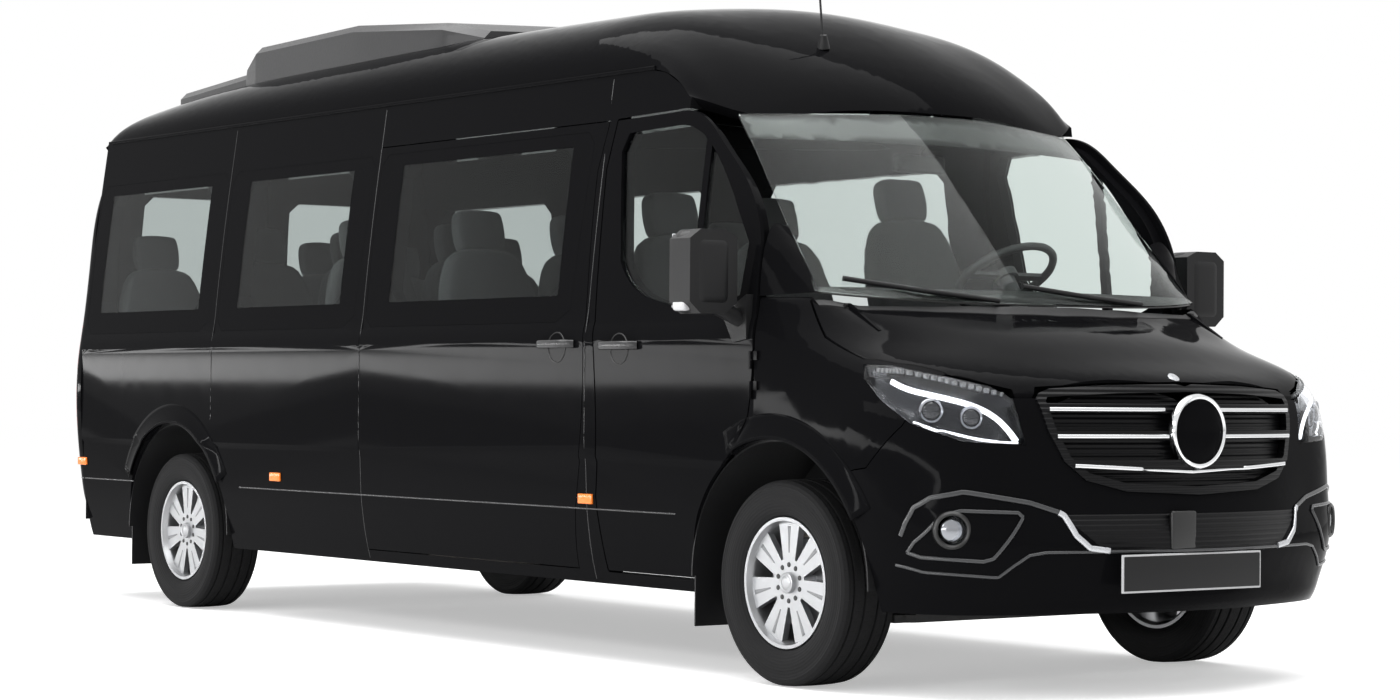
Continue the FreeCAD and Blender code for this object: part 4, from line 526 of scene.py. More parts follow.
tread_rubber = tyre_finish("tread_rubber", True)
wall_rubber = tyre_finish("sidewall_rubber", False)
wheel_centres = {
    "front_left": (AXLE_X, WHEEL_Y), "front_right": (AXLE_X, -WHEEL_Y),
    "rear_left": (AXLE_X - WHEELBASE, WHEEL_Y), "rear_right": (AXLE_X - WHEELBASE, -WHEEL_Y),
}
outline = TYRE_HALF + [(r, -y) for r, y in reversed(TYRE_HALF)] + TYRE_BEADS
for corner, (axle_x, wheel_y) in wheel_centres.items():
    shape = revolved([(0, y, r) for r, y in outline], (0, 1, 0), TYRE_STEPS, closed=True)
    layer = shape.loops.layers.uv.new("round")
    for face in shape.faces:
        middle = face.calc_center_median()
        on_tread = from_axle(middle) > TREAD_FLOOR and abs(middle.y) < TREAD_HALF
        face.material_index = 0 if on_tread else 1
        start = atan2(middle.x, middle.z)
        for loop in face.loops:
            place = loop.vert.co
            height = place.y if on_tread else from_axle(place)
            loop[layer].uv = (turn_beside(place, start) * TREAD_UNROLLED, height)
    bmesh.ops.translate(shape, verts=shape.verts, vec=(axle_x, wheel_y, AXLE_Z))
    mesh = meshed("treaded_tyre_" + corner, shape)
    mesh.materials.append(tread_rubber)
    mesh.materials.append(wall_rubber)
    piece = placed("treaded_tyre_" + corner, mesh, tread_rubber, "wheel_" + corner, 28)
    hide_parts("tyre_" + corner)

# Rims
# Seven-spoke cast alloy rims, silver lacquered, with a groove down each spoke, ten bolt holes and a
# plain round centre cap; the grooves and the bolts are coloured darker as painted shade of their recesses.
SPOKES = 7
SPOKE_FACE = 0.0754
GROOVE_INNER = 0.100
GROOVE_LENGTH = 0.088
GROOVE_NARROW = 0.005
GROOVE_SPREAD = 0.011
GROOVE_WALL = 0.0008
BOLTS = 10
BOLT_CIRCLE = 0.060
BOLT_FOOT = 0.0095
BOLT_HEAD = 0.0085
BOLT_DEPTH = 0.008
BOLT_EDGE = 0.0012
BOLT_SUNK = 0.002
CAP_LINE = [
    (0.0, 0.0165), (0.012, 0.0163), (0.022, 0.0150), (0.024, 0.0135), (0.030, 0.0150), (0.0345, 0.0130),
    (0.0350, 0.0),
]
alloy = grained("silver_alloy", (0.40, 0.405, 0.415), 0.32, 90.0, 0.04, metallic=0.9)
groove_shade_grey = grained("painted_groove_shade", (0.20, 0.205, 0.21), 0.45, 120.0, 0.1)
bolt_shade_black = grained("bolt_hole_shade", (0.02, 0.02, 0.02), 0.5, 120.0, 0.1)


def bevelled(shape, offset, segments):
    bmesh.ops.bevel(
        shape, geom=shape.edges, offset=offset, affect="EDGES", segments=segments, profile=0.5, material=-1
    )


def on_wheel(name, shape, finish, corner, centre):
    bmesh.ops.translate(shape, verts=shape.verts, vec=centre)
    name = name + "_" + corner
    return placed(name, meshed(name, shape), finish, "wheel_" + corner)


for corner, (axle_x, wheel_y) in wheel_centres.items():
    smoothed("rim_" + corner, alloy)
    side = 1 if wheel_y > 0 else -1
    face_y = wheel_y + side * SPOKE_FACE
    # Flat patches darker than the alloy lie along each spoke face: painted shade for the recessed groove.
    grooves = bmesh.new()
    for spoke in range(SPOKES):
        made = bmesh.ops.create_grid(grooves, x_segments=2, y_segments=8, size=0.5)["verts"]
        for vert in made:
            share = vert.co.y + 0.5
            width = GROOVE_NARROW + GROOVE_SPREAD * share
            vert.co = (vert.co.x * width, 0, GROOVE_INNER + GROOVE_LENGTH * share)
        turn = Matrix.Rotation(2 * pi * spoke / SPOKES, 3, "Y")
        bmesh.ops.rotate(grooves, verts=made, cent=(0, 0, 0), matrix=turn)
    for face in grooves.faces:
        if face.normal.y * side < 0:
            face.normal_flip()
    piece = on_wheel("spoke_groove_shading", grooves, groove_shade_grey, corner, (axle_x, face_y, AXLE_Z))
    walled(piece, GROOVE_WALL)
    # The bolts are coloured near black: painted shade of the bolt holes they sit in.
    bolts = bmesh.new()
    for bolt in range(BOLTS):
        turn = 2 * pi * bolt / BOLTS
        spot = Matrix.Translation((BOLT_CIRCLE * sin(turn), 0.0, BOLT_CIRCLE * cos(turn)))
        bmesh.ops.create_cone(
            bolts, cap_ends=True, segments=12, radius1=BOLT_FOOT, radius2=BOLT_HEAD, depth=BOLT_DEPTH,
            matrix=spot @ Matrix.Rotation(pi / 2, 4, "X"),
        )
    bevelled(bolts, BOLT_EDGE, 2)
    on_wheel("shaded_wheel_bolts", bolts, bolt_shade_black, corner, (axle_x, face_y - side * BOLT_SUNK, AXLE_Z))
    cap = revolved([(0, side * y, r) for r, y in CAP_LINE], (0, 1, 0), 48)
    on_wheel("hub_cap", cap, alloy, corner, (axle_x, face_y, AXLE_Z))

# Glass
# Toughened side panes tinted grey-green with a black border, and a laminated windscreen with a black
# printed band along its top and its foot, all bonded to the frames.
GLASS_IOR = 1.15
PANE_SPANS = ((-2.50, -1.30), (-3.77, -2.89), (-5.11, -4.13))
PANE_LOW = 1.32
PANE_HIGH = 1.865
PANE_FACING = 0.7
BORDER_LIFT = 0.0003
BANDS = (("screen_top_band", True, 0.11), ("screen_foot_band", False, 0.05))
BAND_FACING = 0.2
BAND_SHIFT = (-0.004, 0, -0.006)
BAND_WALL = 0.0015


def glass(name, tint):
    material, nodes, links, shader = plain_material(name)
    shader.inputs["Base Color"].default_value = (*tint, 1)
    shader.inputs["Roughness"].default_value = 0.0
    shader.inputs["Transmission Weight"].default_value = 1.0
    shader.inputs["IOR"].default_value = GLASS_IOR
    clear = nodes.new("ShaderNodeBsdfTransparent")
    clear.inputs["Color"].default_value = (*tint, 1)
    rays = nodes.new("ShaderNodeLightPath")
    mixed = nodes.new("ShaderNodeMixShader")
    links.new(rays.outputs["Is Shadow Ray"], mixed.inputs[0])
    links.new(shader.outputs[0], mixed.inputs[1])
    links.new(clear.outputs[0], mixed.inputs[2])
    links.new(mixed.outputs[0], nodes["Material Output"].inputs["Surface"])
    return material


def cut_through(shape, place, normal, clear_outer=False):
    whole = shape.verts[:] + shape.edges[:] + shape.faces[:]
    bmesh.ops.bisect_plane(shape, geom=whole, plane_co=place, plane_no=normal, clear_outer=clear_outer)


clear_glass = glass("clear_glass", (0.80, 0.85, 0.83))
dark_glass = glass("tinted_glass", (0.62, 0.66, 0.65))
for node in ("windscreen", "front_door_glass_left", "front_door_glass_right"):
    smoothed(node, clear_glass)
for node in ("side_glass_left", "side_glass_right", "rear_door_glass_left", "rear_door_glass_right"):
    smoothed(node, dark_glass)

for side, label in SIDES:
    shape = cad_copy("side_glass_" + label)
    inner = [face for face in shape.faces if face.normal.y * side < PANE_FACING]
    bmesh.ops.delete(shape, geom=inner, context="FACES")
    for x in [AXLE_X + end for span in PANE_SPANS for end in span]:
        cut_through(shape, (x, 0, 0), (1, 0, 0))
    for z in (PANE_LOW, PANE_HIGH):
        cut_through(shape, (0, 0, z), (0, 0, 1))
    clear = []
    for face in shape.faces:
        middle = face.calc_center_median()
        between = any(AXLE_X + rear < middle.x < AXLE_X + front for rear, front in PANE_SPANS)
        if between and PANE_LOW < middle.z < PANE_HIGH:
            clear.append(face)
    bmesh.ops.delete(shape, geom=clear, context="FACES")
    bmesh.ops.translate(shape, verts=shape.verts, vec=(0, side * BORDER_LIFT, 0))
    name = "pane_border_" + label
    placed(name, meshed(name, shape), black_paint, "body")

printed_black = grained("printed_black_band", (0.004, 0.004, 0.004), 0.35, 200.0, 0.1)
low_corner, high_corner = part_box("windscreen")
for name, at_top, height in BANDS:
    shape = cad_copy("windscreen")
    level = high_corner[2] - height if at_top else low_corner[2] + height
    cut_through(shape, (0, 0, level), (0, 0, -1 if at_top else 1), clear_outer=True)
    outer = [face for face in shape.faces if face.normal.x > BAND_FACING]
    bmesh.ops.delete(shape, geom=outer, context="FACES")
    bmesh.ops.translate(shape, verts=shape.verts, vec=BAND_SHIFT)
    piece = placed(name, meshed(name, shape), printed_black, "body")
    walled(piece, BAND_WALL)

# Rear-view mirror and rain sensor
# A small moulded mirror on a ball stalk and a sensor pod, both stuck inside the top of the screen.
MIRROR_X = AXLE_X - .44
STALK_X = AXLE_X - .45
POD_LEAN = radians(35)
SCREEN_FALLBACK = AXLE_X - .3
SCREEN_SKIN = skin_of("windscreen")


def rounded_block(name, centre, size, edge, finish, body, lean=None):
    shape = bmesh.new()
    bmesh.ops.create_cube(shape, size=1)
    bmesh.ops.scale(shape, vec=size, verts=shape.verts)
    bevelled(shape, edge, 4)
    if lean:
        bmesh.ops.rotate(shape, verts=shape.verts, cent=(0, 0, 0), matrix=lean)
    bmesh.ops.translate(shape, verts=shape.verts, vec=centre)
    return placed(name, meshed(name, shape), finish, body, 60)


def on_screen(y, z, inward):
    found = SCREEN_SKIN.ray_cast(Vector((BEYOND, y, z)), Vector((-1, 0, 0)))[0]
    return Vector(((found.x if found else SCREEN_FALLBACK) - inward, y, z))


rounded_block(
    "cabin_mirror", (MIRROR_X, 0.0, 1.80), (0.035, 0.23, 0.065), 0.014, black_plastic, "body",
)
rounded_block(
    "sensor_pod", on_screen(0, 1.90, 0.075), (0.10, 0.12, 0.05), 0.018, black_plastic, "body",
    Matrix.Rotation(POD_LEAN, 3, "Y"),
)
stalk = [(MIRROR_X, 0, 1.81), (STALK_X, 0, 1.86), on_screen(0, 1.905, 0.06)]
strip("mirror_stalk", stalk, 0.014, 0.014, black_plastic, "body")

# Headlamps and fog lamps
# Dark bowls clipped into the nose under clear moulded covers, with two projectors, a white light
# guide, a row of segments and a thin low line in each. Round fog lamps are screwed to the bumper.
LAMP_EDGE = [
    (.945, 1.065), (.905, 1.062), (.800, 1.024), (.650, .982), (.640, .900), (.632, .812), (.824, .822),
    (.939, .878), (.972, .950), (.965, 1.020),
]
RIM_INSET = 0.07
GUIDE_BAND = [(.935, 1.010), (.925, .985), (.862, .963), (.761, .933), (.685, .881), (.650, .825)]
GUIDE_SUNK = -0.010
LOW_LINE = slice(5, 8)
CELLS = 20
CELL_SIDES = 3
CELL_SIZE = 0.015
CELL_EDGE = 0.003
CELL_DROP = 0.012
CELL_SUNK = -0.011
PROJECTORS = ((.882, .918, .036), (.778, .897, .034))
PROJECTOR_SUNK = -0.026
PROJECTOR_RIM = ((0.0, -0.012), (0.004, 0.004), (0.001, 0.010), (-0.005, 0.008), (-0.006, 0))
PROJECTOR_LENS = (-0.005, 0.013)
FOG_SEAT = (AXLE_X + .745, .868, .545)
FOG_SUNK = (0.008, 0.005, 0)
FOG_BEZEL = [(0.045, -0.012), (0.047, 0.004), (0.053, 0.008), (0.060, 0.002), (0.063, -0.010)]
FOG_LENS = (0.038, 0.012)
COVER_WALL = 0.002
COVER_MATCH = 0.002
COVER_FACING = 0.05

lamp_bowl = grained("lamp_bowl", (0.020, 0.021, 0.023), 0.25, 60.0, 0.1, metallic=0.6)
light_guide = grained("light_guide", (0.85, 0.87, 0.9), 0.25, 80.0, 0.02, emission_strength=1.15)
guide_shader = light_guide.node_tree.nodes["Principled BSDF"]
guide_shader.inputs["Emission Color"].default_value = (0.95, 0.97, 1, 1)
projector_rim = grained("projector_rim", (0.30, 0.31, 0.33), 0.18, 60.0, 0.05, metallic=1.0)
projector_glass = grained(
    "projector_glass", (0.012, 0.013, 0.015), 0.04, 10.0, 0.02, specular_ior_level=0.7
)
lamp_segment = grained("lamp_segment", (0.16, 0.165, 0.17), 0.3, 80.0, 0.05)
cover_glass = glass("lamp_cover", (0.97, 0.98, 1.0))
LAMP_SKIN = skin_of("front_lamps")


def outer_face(face):
    middle = face.calc_center_median()
    found = LAMP_SKIN.ray_cast(Vector((BEYOND, middle.y, middle.z)), Vector((-1, 0, 0)))[0]
    return found is not None and abs(found.x - middle.x) < COVER_MATCH and face.normal.x > COVER_FACING


for name, wanted, finish in (("lamp_covers", True, cover_glass), ("lamp_bowls", False, lamp_bowl)):
    shape = cad_copy("front_lamps")
    spare = [face for face in shape.faces if outer_face(face) != wanted]
    bmesh.ops.delete(shape, geom=spare, context="FACES")
    if not wanted:
        bmesh.ops.reverse_faces(shape, faces=shape.faces)
    piece = placed(name, meshed(name, shape), finish, "body", 40)
    if wanted:
        walled(piece, COVER_WALL)
        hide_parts("front_lamps")


def spun(name, profile, centre, axis, finish, body, steps=40):
    shape = revolved([(along, 0, radius) for radius, along in profile], (1, 0, 0), steps)
    turn = Vector((1, 0, 0)).rotation_difference(Vector(axis)).to_matrix()
    bmesh.ops.rotate(shape, verts=shape.verts, cent=(0, 0, 0), matrix=turn)
    bmesh.ops.translate(shape, verts=shape.verts, vec=centre)
    return placed(name, meshed(name, shape), finish, body)


def to_side(place, side):
    return Vector((place[0], side * place[1], place[2]))


def domed(radius, height):
    turns = [pi / 2 * step / 6 for step in range(1, 7)]
    return [(radius * cos(turn), height * sin(turn)) for turn in turns]


for side, label in SIDES:
    edge = [Vector((y * side, z)) for y, z in LAMP_EDGE]
    middle = sum(edge, Vector((0, 0))) / len(edge)
    rim = [point + (middle - point) * RIM_INSET for point in edge]
    bright = [on_nose(y * side, z, GUIDE_SUNK) for y, z in GUIDE_BAND]
    strip("lamp_guide_band_" + label, bright, 0.018, 0.010, light_guide, "body")
    lower = [on_nose(*point, GUIDE_SUNK) for point in rim[LOW_LINE]]
    strip("lamp_guide_low_" + label, lower, 0.005, 0.006, light_guide, "body")
    cells = bmesh.new()
    for step in range(CELLS):
        share = (step + 0.5) / CELLS * CELL_SIDES
        first = min(int(share), CELL_SIDES - 1)
        point = rim[first].lerp(rim[first + 1], share - first) - Vector((0, CELL_DROP))
        spot = Matrix.Translation(on_nose(*point, CELL_SUNK))
        bmesh.ops.create_cube(cells, size=CELL_SIZE, matrix=spot)
    bevelled(cells, CELL_EDGE, 2)
    name = "lamp_cells_" + label
    placed(name, meshed(name, cells), lamp_segment, "body")
    for number, (y, z, radius) in enumerate(PROJECTORS):
        seat_point = on_nose(y * side, z, PROJECTOR_SUNK)
        aim = (0.86, side * 0.5, 0)
        line = [(radius + wider, along) for wider, along in PROJECTOR_RIM]
        name = "projector_rim_%s_%d" % (label, number)
        spun(name, line, seat_point, aim, projector_rim, "body")
        inner = radius + PROJECTOR_LENS[0]
        line = [(inner, 0.0)] + domed(inner, PROJECTOR_LENS[1])
        name = "projector_lens_%s_%d" % (label, number)
        spun(name, line, seat_point, aim, projector_glass, "body")
    fog_seat = to_side(FOG_SEAT, side)
    aim = (0.84, side * 0.54, 0)
    spun("fog_bezel_" + label, FOG_BEZEL, fog_seat, aim, printed_black, "body")
    lens_seat = fog_seat - to_side(FOG_SUNK, side)
    line = [(0.039, -0.012), (0.038, 0.0)] + domed(*FOG_LENS)
    spun("fog_lens_" + label, line, lens_seat, aim, projector_rim, "body")

# Grille and nose trims
# A moulded black surround and bars, each with a bright chromed blade, a plain round badge in a
# chromed ring, a fine dark mesh behind, and thin trims clipped round the openings of the bumper.
# The raised strips over the fog lamps and along the bumper crease are paler than the paint: painted
# highlights.
MESH_PITCH = 0.016
WAVE_STRETCH = 3.2
BLADES = ((.926, .545, 0.125, 0.0), (.840, .530, 0.125, 0.0), (.747, .480, 0.0, 0.022))
BLADE_PROUD = 0.005
BADGE_SEAT = (AXLE_X + .957, 0, .856)
BADGE_RING = [
    (0.104, 0.0), (0.106, 0.010), (0.112, 0.014), (0.118, 0.011), (0.122, 0.002), (0.121, -0.012),
]
BADGE_DISC = [(0.106, 0.001), (0.098, 0.004), (0.060, 0.007), (0.0, 0.009)]
BADGE_STEPS = 72
BONNET_BADGE = [(0.021, 0.0), (0.020, 0.003), (0.014, 0.0035), (0.0, 0.005)]
BONNET_BADGE_X = AXLE_X + .845
LOWER_TRIM = [(.545, .600), (.530, .591), (.498, .527), (.451, .487), (.384, .478)]
FOG_TRIM = [
    (.948, .472), (.941, .505), (.893, .590), (.846, .606), (.675, .600), (.662, .585), (.757, .456),
    (.785, .447), (.926, .458),
]
# Paths of the painted highlight lines over each fog lamp and along the bumper crease, as (y, z).
FOG_BROW_HIGHLIGHT = [(.960, .524), (.955, .566), (.943, .614), (.912, .646), (.834, .665), (.632, .631), (.541, .600)]
BUMPER_CREASE_HIGHLIGHT = [
    (.955, .431), (.913, .411), (.734, .396), (.695, .432), (.648, .466), (.596, .475), (.349, .475),
    (0, .475),
]


def barred_black(name, pitch):
    material = grained(name, (0.003, 0.003, 0.0035), 0.38, 80.0, 0.1, specular_ior_level=0.12)
    nodes, links = material.node_tree.nodes, material.node_tree.links
    spot = nodes.new("ShaderNodeTexCoord")
    bars = nodes.new("ShaderNodeTexWave")
    bars.bands_direction = "Z"
    bars.inputs["Scale"].default_value = 1 / pitch / WAVE_STRETCH
    links.new(spot.outputs["Object"], bars.inputs["Vector"])
    bump = nodes.new("ShaderNodeBump")
    bump.inputs["Distance"].default_value = 0.0025
    links.new(bars.outputs["Fac"], bump.inputs["Height"])
    links.new(bump.outputs["Normal"], nodes["Principled BSDF"].inputs["Normal"])
    return material


def nose_path(path, side, proud, closed=False):
    ends = path[1:] + path[:1] if closed else path[1:]
    points = []
    for (y, z), (next_y, next_z) in zip(path, ends):
        shares = [step / 6 for step in range(6)]
        points += [on_nose(side * (y + (next_y - y) * k), z + (next_z - z) * k, proud) for k in shares]
    return points if closed else points + [on_nose(side * path[-1][0], path[-1][1], proud)]


smoothed("grille", barred_black("grille_black", MESH_PITCH))
# Gloss trim for the fog lamp surrounds, also used for the paler painted highlight strips on the paint.
trim_and_highlight = grained("trim_and_highlight", (0.035, 0.036, 0.038), 0.18, 80.0, 0.05)
chrome = grained("bright_chrome", (0.78, 0.79, 0.80), 0.10, 60.0, 0.05, metallic=1.0)
satin_chrome = grained("satin_chrome", (0.55, 0.56, 0.58), 0.28, 90.0, 0.1, metallic=0.9)
for number, (level, reach, gap, sag) in enumerate(BLADES):
    for side, label in SIDES:
        ys = [side * (gap + (reach - gap) * step / 12) for step in range(13)]
        points = [on_nose(y, level - sag * (1 - abs(y) / reach), BLADE_PROUD) for y in ys]
        name = "grille_blade_%d_%s" % (number, label)
        strip(name, points, 0.013, 0.007, chrome, "body")
spun("badge_ring", BADGE_RING, BADGE_SEAT, (1, 0, 0), chrome, "body", BADGE_STEPS)
spun("badge_disc", BADGE_DISC, BADGE_SEAT, (1, 0, 0), black_paint, "body", BADGE_STEPS)
badge_spot = on_top(BONNET_BADGE_X, 0, 0.001)
spun("bonnet_badge", BONNET_BADGE, badge_spot, (0.62, 0, 0.78), satin_chrome, "bonnet")
rounded_block(
    "sensor_cover", on_nose(-.10, .54, -0.004), (0.02, 0.11, 0.125), 0.008, printed_black, "body",
)
for side, label in SIDES:
    wedge = nose_path(LOWER_TRIM, side, 0.004)
    strip("lower_trim_" + label, wedge, 0.020, 0.010, satin_chrome, "body")
    ring = nose_path(FOG_TRIM, side, 0.003, closed=True)
    strip("fog_trim_" + label, ring, 0.012, 0.008, trim_and_highlight, "body", closed=True)
    # Painted highlight: a raised strip paler than the paint along the brow over the fog lamp.
    brow_highlight = nose_path(FOG_BROW_HIGHLIGHT, side, 0.002)
    strip("fog_brow_highlight_" + label, brow_highlight, 0.016, 0.008, trim_and_highlight, "body")
# Painted highlight: a raised strip paler than the paint along the bumper crease.
for side, label in SIDES:
    crease = nose_path(BUMPER_CREASE_HIGHLIGHT, side, 0.002)
    strip("bumper_crease_highlight_" + label, crease, 0.010, 0.008, trim_and_highlight, "body")

# Number plate
# A blank dark plate of pressed aluminium in a thin pale plastic frame, screwed to the bumper.
PLATE_Y = -.062
PLATE_Z = .406
PLATE_SIZE = (0.008, .616, .110)
FRAME_SIZE = (0.008, .628, .122)
plate_grey = grained("plate_grey", (0.010, 0.010, 0.0105), 0.4, 150.0, 0.1, specular_ior_level=0.2)
plate_frame = grained("plate_frame", (0.45, 0.45, 0.46), 0.4, 150.0, 0.1)
plate_x = max(on_nose(y, z).x for y in (-.36, -.06, .24) for z in (.36, .40, .45))
for name, proud, size, finish in (
    ("plate_frame", 0.001, FRAME_SIZE, plate_frame), ("number_plate", 0.003, PLATE_SIZE, plate_grey),
):
    rounded_block(name, (plate_x + proud, PLATE_Y, PLATE_Z), size, 0.003, finish, "body")

# Door handles and markers
# Moulded pull handles over round finger recesses, and amber marker lamps let into the lower panels.
HANDLES = [
    ("front_handle_right", -.87, 1.135, -1, "front_door_right"),
    ("front_handle_left", -.87, 1.135, 1, "front_door_left"),
    ("sliding_handle", -1.265, 1.143, -1, "body"),
]
PULL_LINE = [(-.105, .003), (-.092, .026), (-.06, .038), (.06, .038), (.092, .026), (.105, .003)]
RECESS_RADIUS = .055
RECESS_SHIFT = (-.005, -.012)
RECESS_STEPS = 16
MARKERS = ((-1.095, .587), (-3.395, .605), (-5.255, .631))
MARKER_SIZE = (.088, .012, .036)
gloss_plastic = grained("gloss_black_plastic", (0.02, 0.02, 0.021), 0.2, 120.0, 0.1)
amber = grained("amber_lens", (0.85, 0.20, 0.02), 0.2, 60.0, 0.15)
for name, x, z, side, body in HANDLES:
    pull = [on_side(AXLE_X + x + along, z, proud, side) for along, proud in PULL_LINE]
    strip(name, pull, 0.030, 0.015, gloss_plastic, body)
    circle = []
    for step in range(RECESS_STEPS):
        turn = 2 * pi * step / RECESS_STEPS
        edge_x = AXLE_X + x + RECESS_SHIFT[0] + RECESS_RADIUS * cos(turn)
        edge_z = z + RECESS_SHIFT[1] + RECESS_RADIUS * sin(turn)
        circle.append(on_side(edge_x, edge_z, SEAM_PROUD, side))
    strip(name + "_recess", circle, 0.005, 0.005, printed_black, body, closed=True)
for side, label in SIDES:
    for number, (x, z) in enumerate(MARKERS):
        name = "side_marker_%s_%d" % (label, number)
        spot = on_side(AXLE_X + x, z, 0.002, side)
        rounded_block(name, spot, MARKER_SIZE, 0.004, amber, "body")

# Mirrors
# Moulded housings on short arms, with a clear turn lamp in the outer edge and silvered glass that
# faces the rear.
HOUSING_SIZE = (.125, .203, .292)
HOUSING_PLACE = (AXLE_X - .1875, 1.1525, 1.372)
HOUSING_TAPER = (0.86, 0.90)
HOUSING_EDGE = 0.050
MIRROR_GLASS_SIZE = (.004, .165, .245)
MIRROR_GLASS_PLACE = (AXLE_X - .2505, 1.1525, 1.375)
TURN_LENS_SIZE = (.070, .034, .055)
TURN_LENS_PLACE = (AXLE_X - .20, 1.232, 1.268)
silvered = grained("silvered_glass", (0.75, 0.77, 0.79), 0.03, 10.0, 0.02, metallic=1.0)
turn_lens = grained("turn_lens", (0.50, 0.50, 0.51), 0.2, 60.0, 0.1)
for side, label in SIDES:
    body = "front_door_" + label
    shape = bmesh.new()
    bmesh.ops.create_cube(shape, size=1)
    bmesh.ops.scale(shape, vec=HOUSING_SIZE, verts=shape.verts)
    for vert in shape.verts:
        if vert.co.x > 0:
            vert.co.y *= HOUSING_TAPER[0]
            vert.co.z *= HOUSING_TAPER[1]
    bevelled(shape, HOUSING_EDGE, 8)
    bmesh.ops.translate(shape, verts=shape.verts, vec=to_side(HOUSING_PLACE, side))
    name = "mirror_housing_" + label
    placed(name, meshed(name, shape), black_plastic, body, 70)
    spot = to_side(MIRROR_GLASS_PLACE, side)
    rounded_block("mirror_glass_" + label, spot, MIRROR_GLASS_SIZE, 0.0015, silvered, body)
    spot = to_side(TURN_LENS_PLACE, side)
    rounded_block("turn_lens_" + label, spot, TURN_LENS_SIZE, 0.012, turn_lens, body)

# Tail lamps
# Upright mouldings of red plastic with a clear band for the reversing lamp, screwed to the corner
# posts.
CLEAR_LOW = 0.98
CLEAR_HIGH = 1.06
tail_red = grained("tail_red", (0.42, 0.008, 0.010), 0.12, 60.0, 0.1)
tail_clear = grained("tail_clear", (0.55, 0.50, 0.50), 0.12, 60.0, 0.1)
tail = smoothed("tail_lamps", tail_red)
shape = bmesh.new()
shape.from_mesh(tail.data)
for level in (CLEAR_LOW, CLEAR_HIGH):
    cut_through(shape, (0, 0, level), (0, 0, 1))
for face in shape.faces:
    face.material_index = 1 if CLEAR_LOW < face.calc_center_median().z < CLEAR_HIGH else 0
shape.to_mesh(tail.data)
shape.free()
tail.data.materials.append(tail_clear)

# Scuttle vents
# Slotted air inlets moulded in black plastic and let into the scuttle behind the bonnet.
VENT_REAR = (.135, .075)
VENT_FRONT = (.196, .082)
RIB_REAR = (.138, .075)
RIB_FRONT = (.192, .082)
VENT_ACROSS = (.66, -.46)
VENT_PROUD = 0.0008
VENT_WALL = 0.0012
RIB_PROUD = 0.002
RIBS = 24


def on_vent(along, down, rear, front, side, proud):
    rear_x = rear[0] + rear[1] * along
    front_x = front[0] + front[1] * along
    y = VENT_ACROSS[0] + VENT_ACROSS[1] * along
    return on_top(AXLE_X + rear_x + (front_x - rear_x) * down, side * y, proud)


for side, label in SIDES:
    shape = bmesh.new()
    bmesh.ops.create_grid(shape, x_segments=16, y_segments=4, size=0.5)
    for vert in shape.verts:
        vert.co = on_vent(vert.co.x + 0.5, vert.co.y + 0.5, VENT_REAR, VENT_FRONT, side, VENT_PROUD)
    outward(shape, Vector((0, 0, 1)))
    name = "scuttle_vent_" + label
    piece = placed(name, meshed(name, shape), printed_black, "body")
    walled(piece, VENT_WALL)
    for rib in range(RIBS):
        along = (rib + 0.5) / RIBS
        points = [on_vent(along, down, RIB_REAR, RIB_FRONT, side, RIB_PROUD) for down in (0, .5, 1)]
        name = "vent_rib_%s_%02d" % (label, rib)
        strip(name, points, 0.004, 0.004, gloss_plastic, "body")

# Seats
# Cloth cushions over foam, crowned and pulled in at their seams, on steel pedestals bolted to the
# floor.
WEAVE = 700.0
PULL = 0.30
CUSHION_CUTS = 5
BASE_Z = 0.70
SEAT_PLAN = [
    ("front_seats", [(-.72, -.62, -.08), (-.72, -.155, -.08), (-.72, .48, .02)]),
    ("passenger_seats", [(x, y, -.09) for x in (-2.00, -2.90, -3.80) for y in (-.64, -.17, .62)]
     + [(-4.80, y, -.09) for y in (-.665, -.222, .222, .665)]),
]
FORMS = [
    ("squab", (-.04, 0, .385), (.115, .445, .54), 85, .2),
    ("back", (-.300, 0, .655), (.115, .445, .56), -14, .25),
    ("headrest", (-.390, 0, .995), (.085, .22, .175), -14, .2),
]
TAPER_FROM = .655
TAPER_HEIGHT = .28
TAPER = .30
PEDESTAL_SIZE = (.30, .38, .32)
PEDESTAL_PLACE = (-.04, 0, .162)
PEDESTAL_EDGE = 0.02
POSTS = ((-.372, -.07, .905), (-.372, .07, .905))
POST_RADIUS = 0.006
POST_HEIGHT = 0.12


def seat_cloth(name, colour):
    material = grained(name, colour, 0.85, 500.0, 0.3)
    nodes, links = material.node_tree.nodes, material.node_tree.links
    spot = nodes.new("ShaderNodeTexCoord")
    weave = nodes.new("ShaderNodeTexChecker")
    weave.inputs["Scale"].default_value = WEAVE
    links.new(spot.outputs["Object"], weave.inputs["Vector"])
    bump = nodes.new("ShaderNodeBump")
    bump.inputs["Distance"].default_value = 0.0006
    links.new(weave.outputs["Fac"], bump.inputs["Height"])
    links.new(bump.outputs["Normal"], nodes["Principled BSDF"].inputs["Normal"])
    return material


dark_cloth = seat_cloth("dark_seat_cloth", (0.022, 0.022, 0.024))
dark_cloth.node_tree.nodes["Principled BSDF"].inputs["Sheen Weight"].default_value = 0.15


def cushion(centre, size, lean, crown):
    shape = bmesh.new()
    bmesh.ops.create_cube(shape, size=2)
    bmesh.ops.subdivide_edges(shape, edges=shape.edges, cuts=CUSHION_CUTS, use_grid_fill=True)
    for vert in shape.verts:
        x, y, z = vert.co
        xx, yy, zz = x * x, y * y, z * z
        vert.co.x = x * (1 - PULL * (yy + zz) / 4) + crown * x * (1 - yy) * (1 - zz)
        vert.co.y = y * (1 - PULL * (xx + zz) / 4)
        vert.co.z = z * (1 - PULL * (xx + yy) / 4)
    bmesh.ops.scale(shape, vec=Vector(size) / 2, verts=shape.verts)
    tilt = Matrix.Rotation(radians(lean), 3, "Y")
    bmesh.ops.rotate(shape, verts=shape.verts, cent=(0, 0, 0), matrix=tilt)
    bmesh.ops.translate(shape, verts=shape.verts, vec=centre)
    return shape


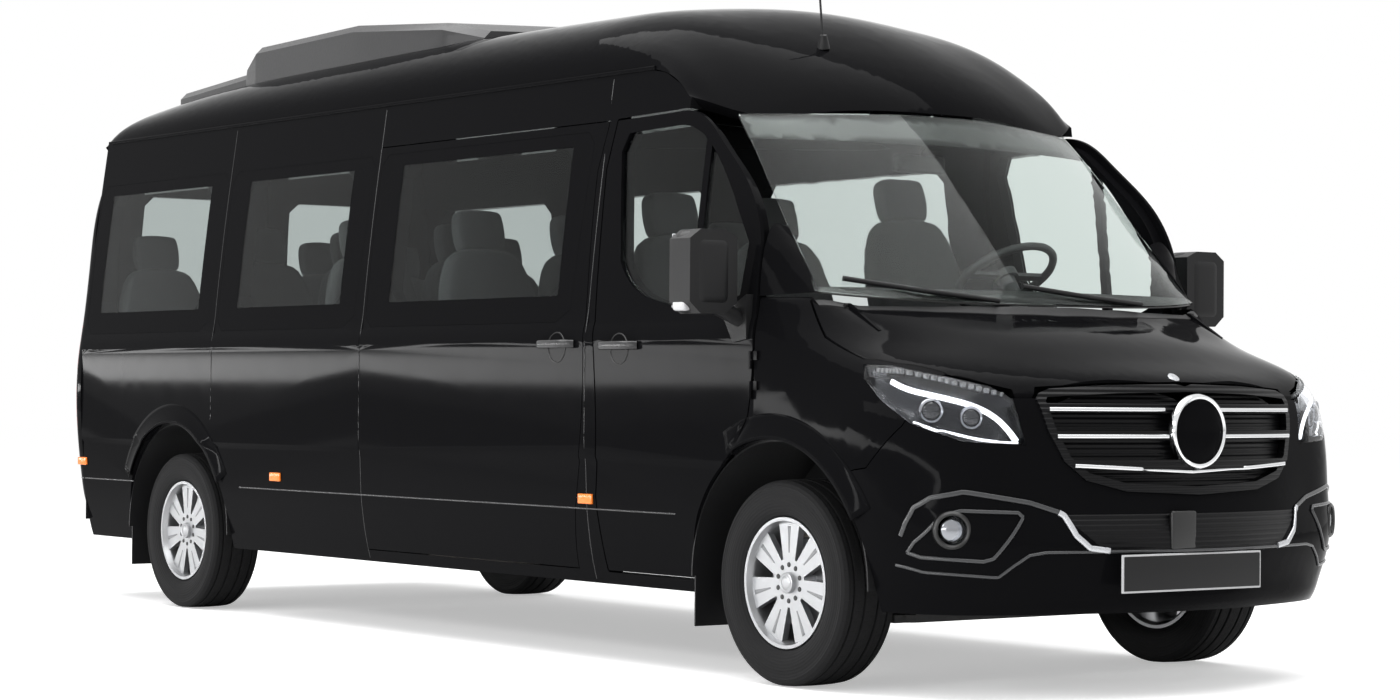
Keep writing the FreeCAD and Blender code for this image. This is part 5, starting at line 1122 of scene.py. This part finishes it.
for node, places in SEAT_PLAN:
    for number, (x, y, lift) in enumerate(places):
        base = Vector((AXLE_X + x, y, BASE_Z + lift))
        for part, offset, size, lean, crown in FORMS:
            shape = cushion(base + Vector(offset), size, lean, crown)
            if part == "back":
                for vert in shape.verts:
                    rise = max(0, vert.co.z - base.z - TAPER_FROM) / TAPER_HEIGHT
                    vert.co.y = y + (vert.co.y - y) * (1 - TAPER * rise * rise)
            title = "%s_%s_%02d" % (node, part, number)
            piece = placed(title, meshed(title, shape), dark_cloth, "body", 80)
            rounder = piece.modifiers.new("rounder", "SUBSURF")
            rounder.levels = rounder.render_levels = 1
            if part == "squab" and number == 0:
                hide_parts(node)
        shape = bmesh.new()
        bmesh.ops.create_cube(shape, size=1)
        bmesh.ops.scale(shape, vec=Vector(PEDESTAL_SIZE) + Vector((0, 0, lift)), verts=shape.verts)
        bevelled(shape, PEDESTAL_EDGE, 3)
        foot = base + Vector(PEDESTAL_PLACE) - Vector((0, 0, lift / 2))
        bmesh.ops.translate(shape, verts=shape.verts, vec=foot)
        for post in POSTS:
            bmesh.ops.create_cone(
                shape, cap_ends=True, segments=12, radius1=POST_RADIUS, radius2=POST_RADIUS,
                depth=POST_HEIGHT, matrix=Matrix.Translation(base + Vector(post)),
            )
        title = "%s_pedestal_%02d" % (node, number)
        placed(title, meshed(title, shape), chassis_paint, "body")

# Dashboard and steering wheel
# A grained plastic moulding across the cabin over a steel beam, with a thin bright edge, and a
# leather-covered wheel on its column.
DASH_EDGE_X = AXLE_X - .05
DASH_EDGE_Z = 1.236
dash_plastic = grained("dashboard_plastic", (0.03, 0.03, 0.032), 0.6, 260.0, 0.2, 0.0006)
smoothed("dashboard", dash_plastic)
smoothed("steering_wheel", grained("wheel_leather", (0.02, 0.02, 0.021), 0.5, 350.0, 0.2, 0.0004))
dash_line = [(DASH_EDGE_X, y, DASH_EDGE_Z) for y in (-.88, -.5, 0, .5, .88)]
strip("dash_edge", dash_line, 0.012, 0.010, satin_chrome, "body")
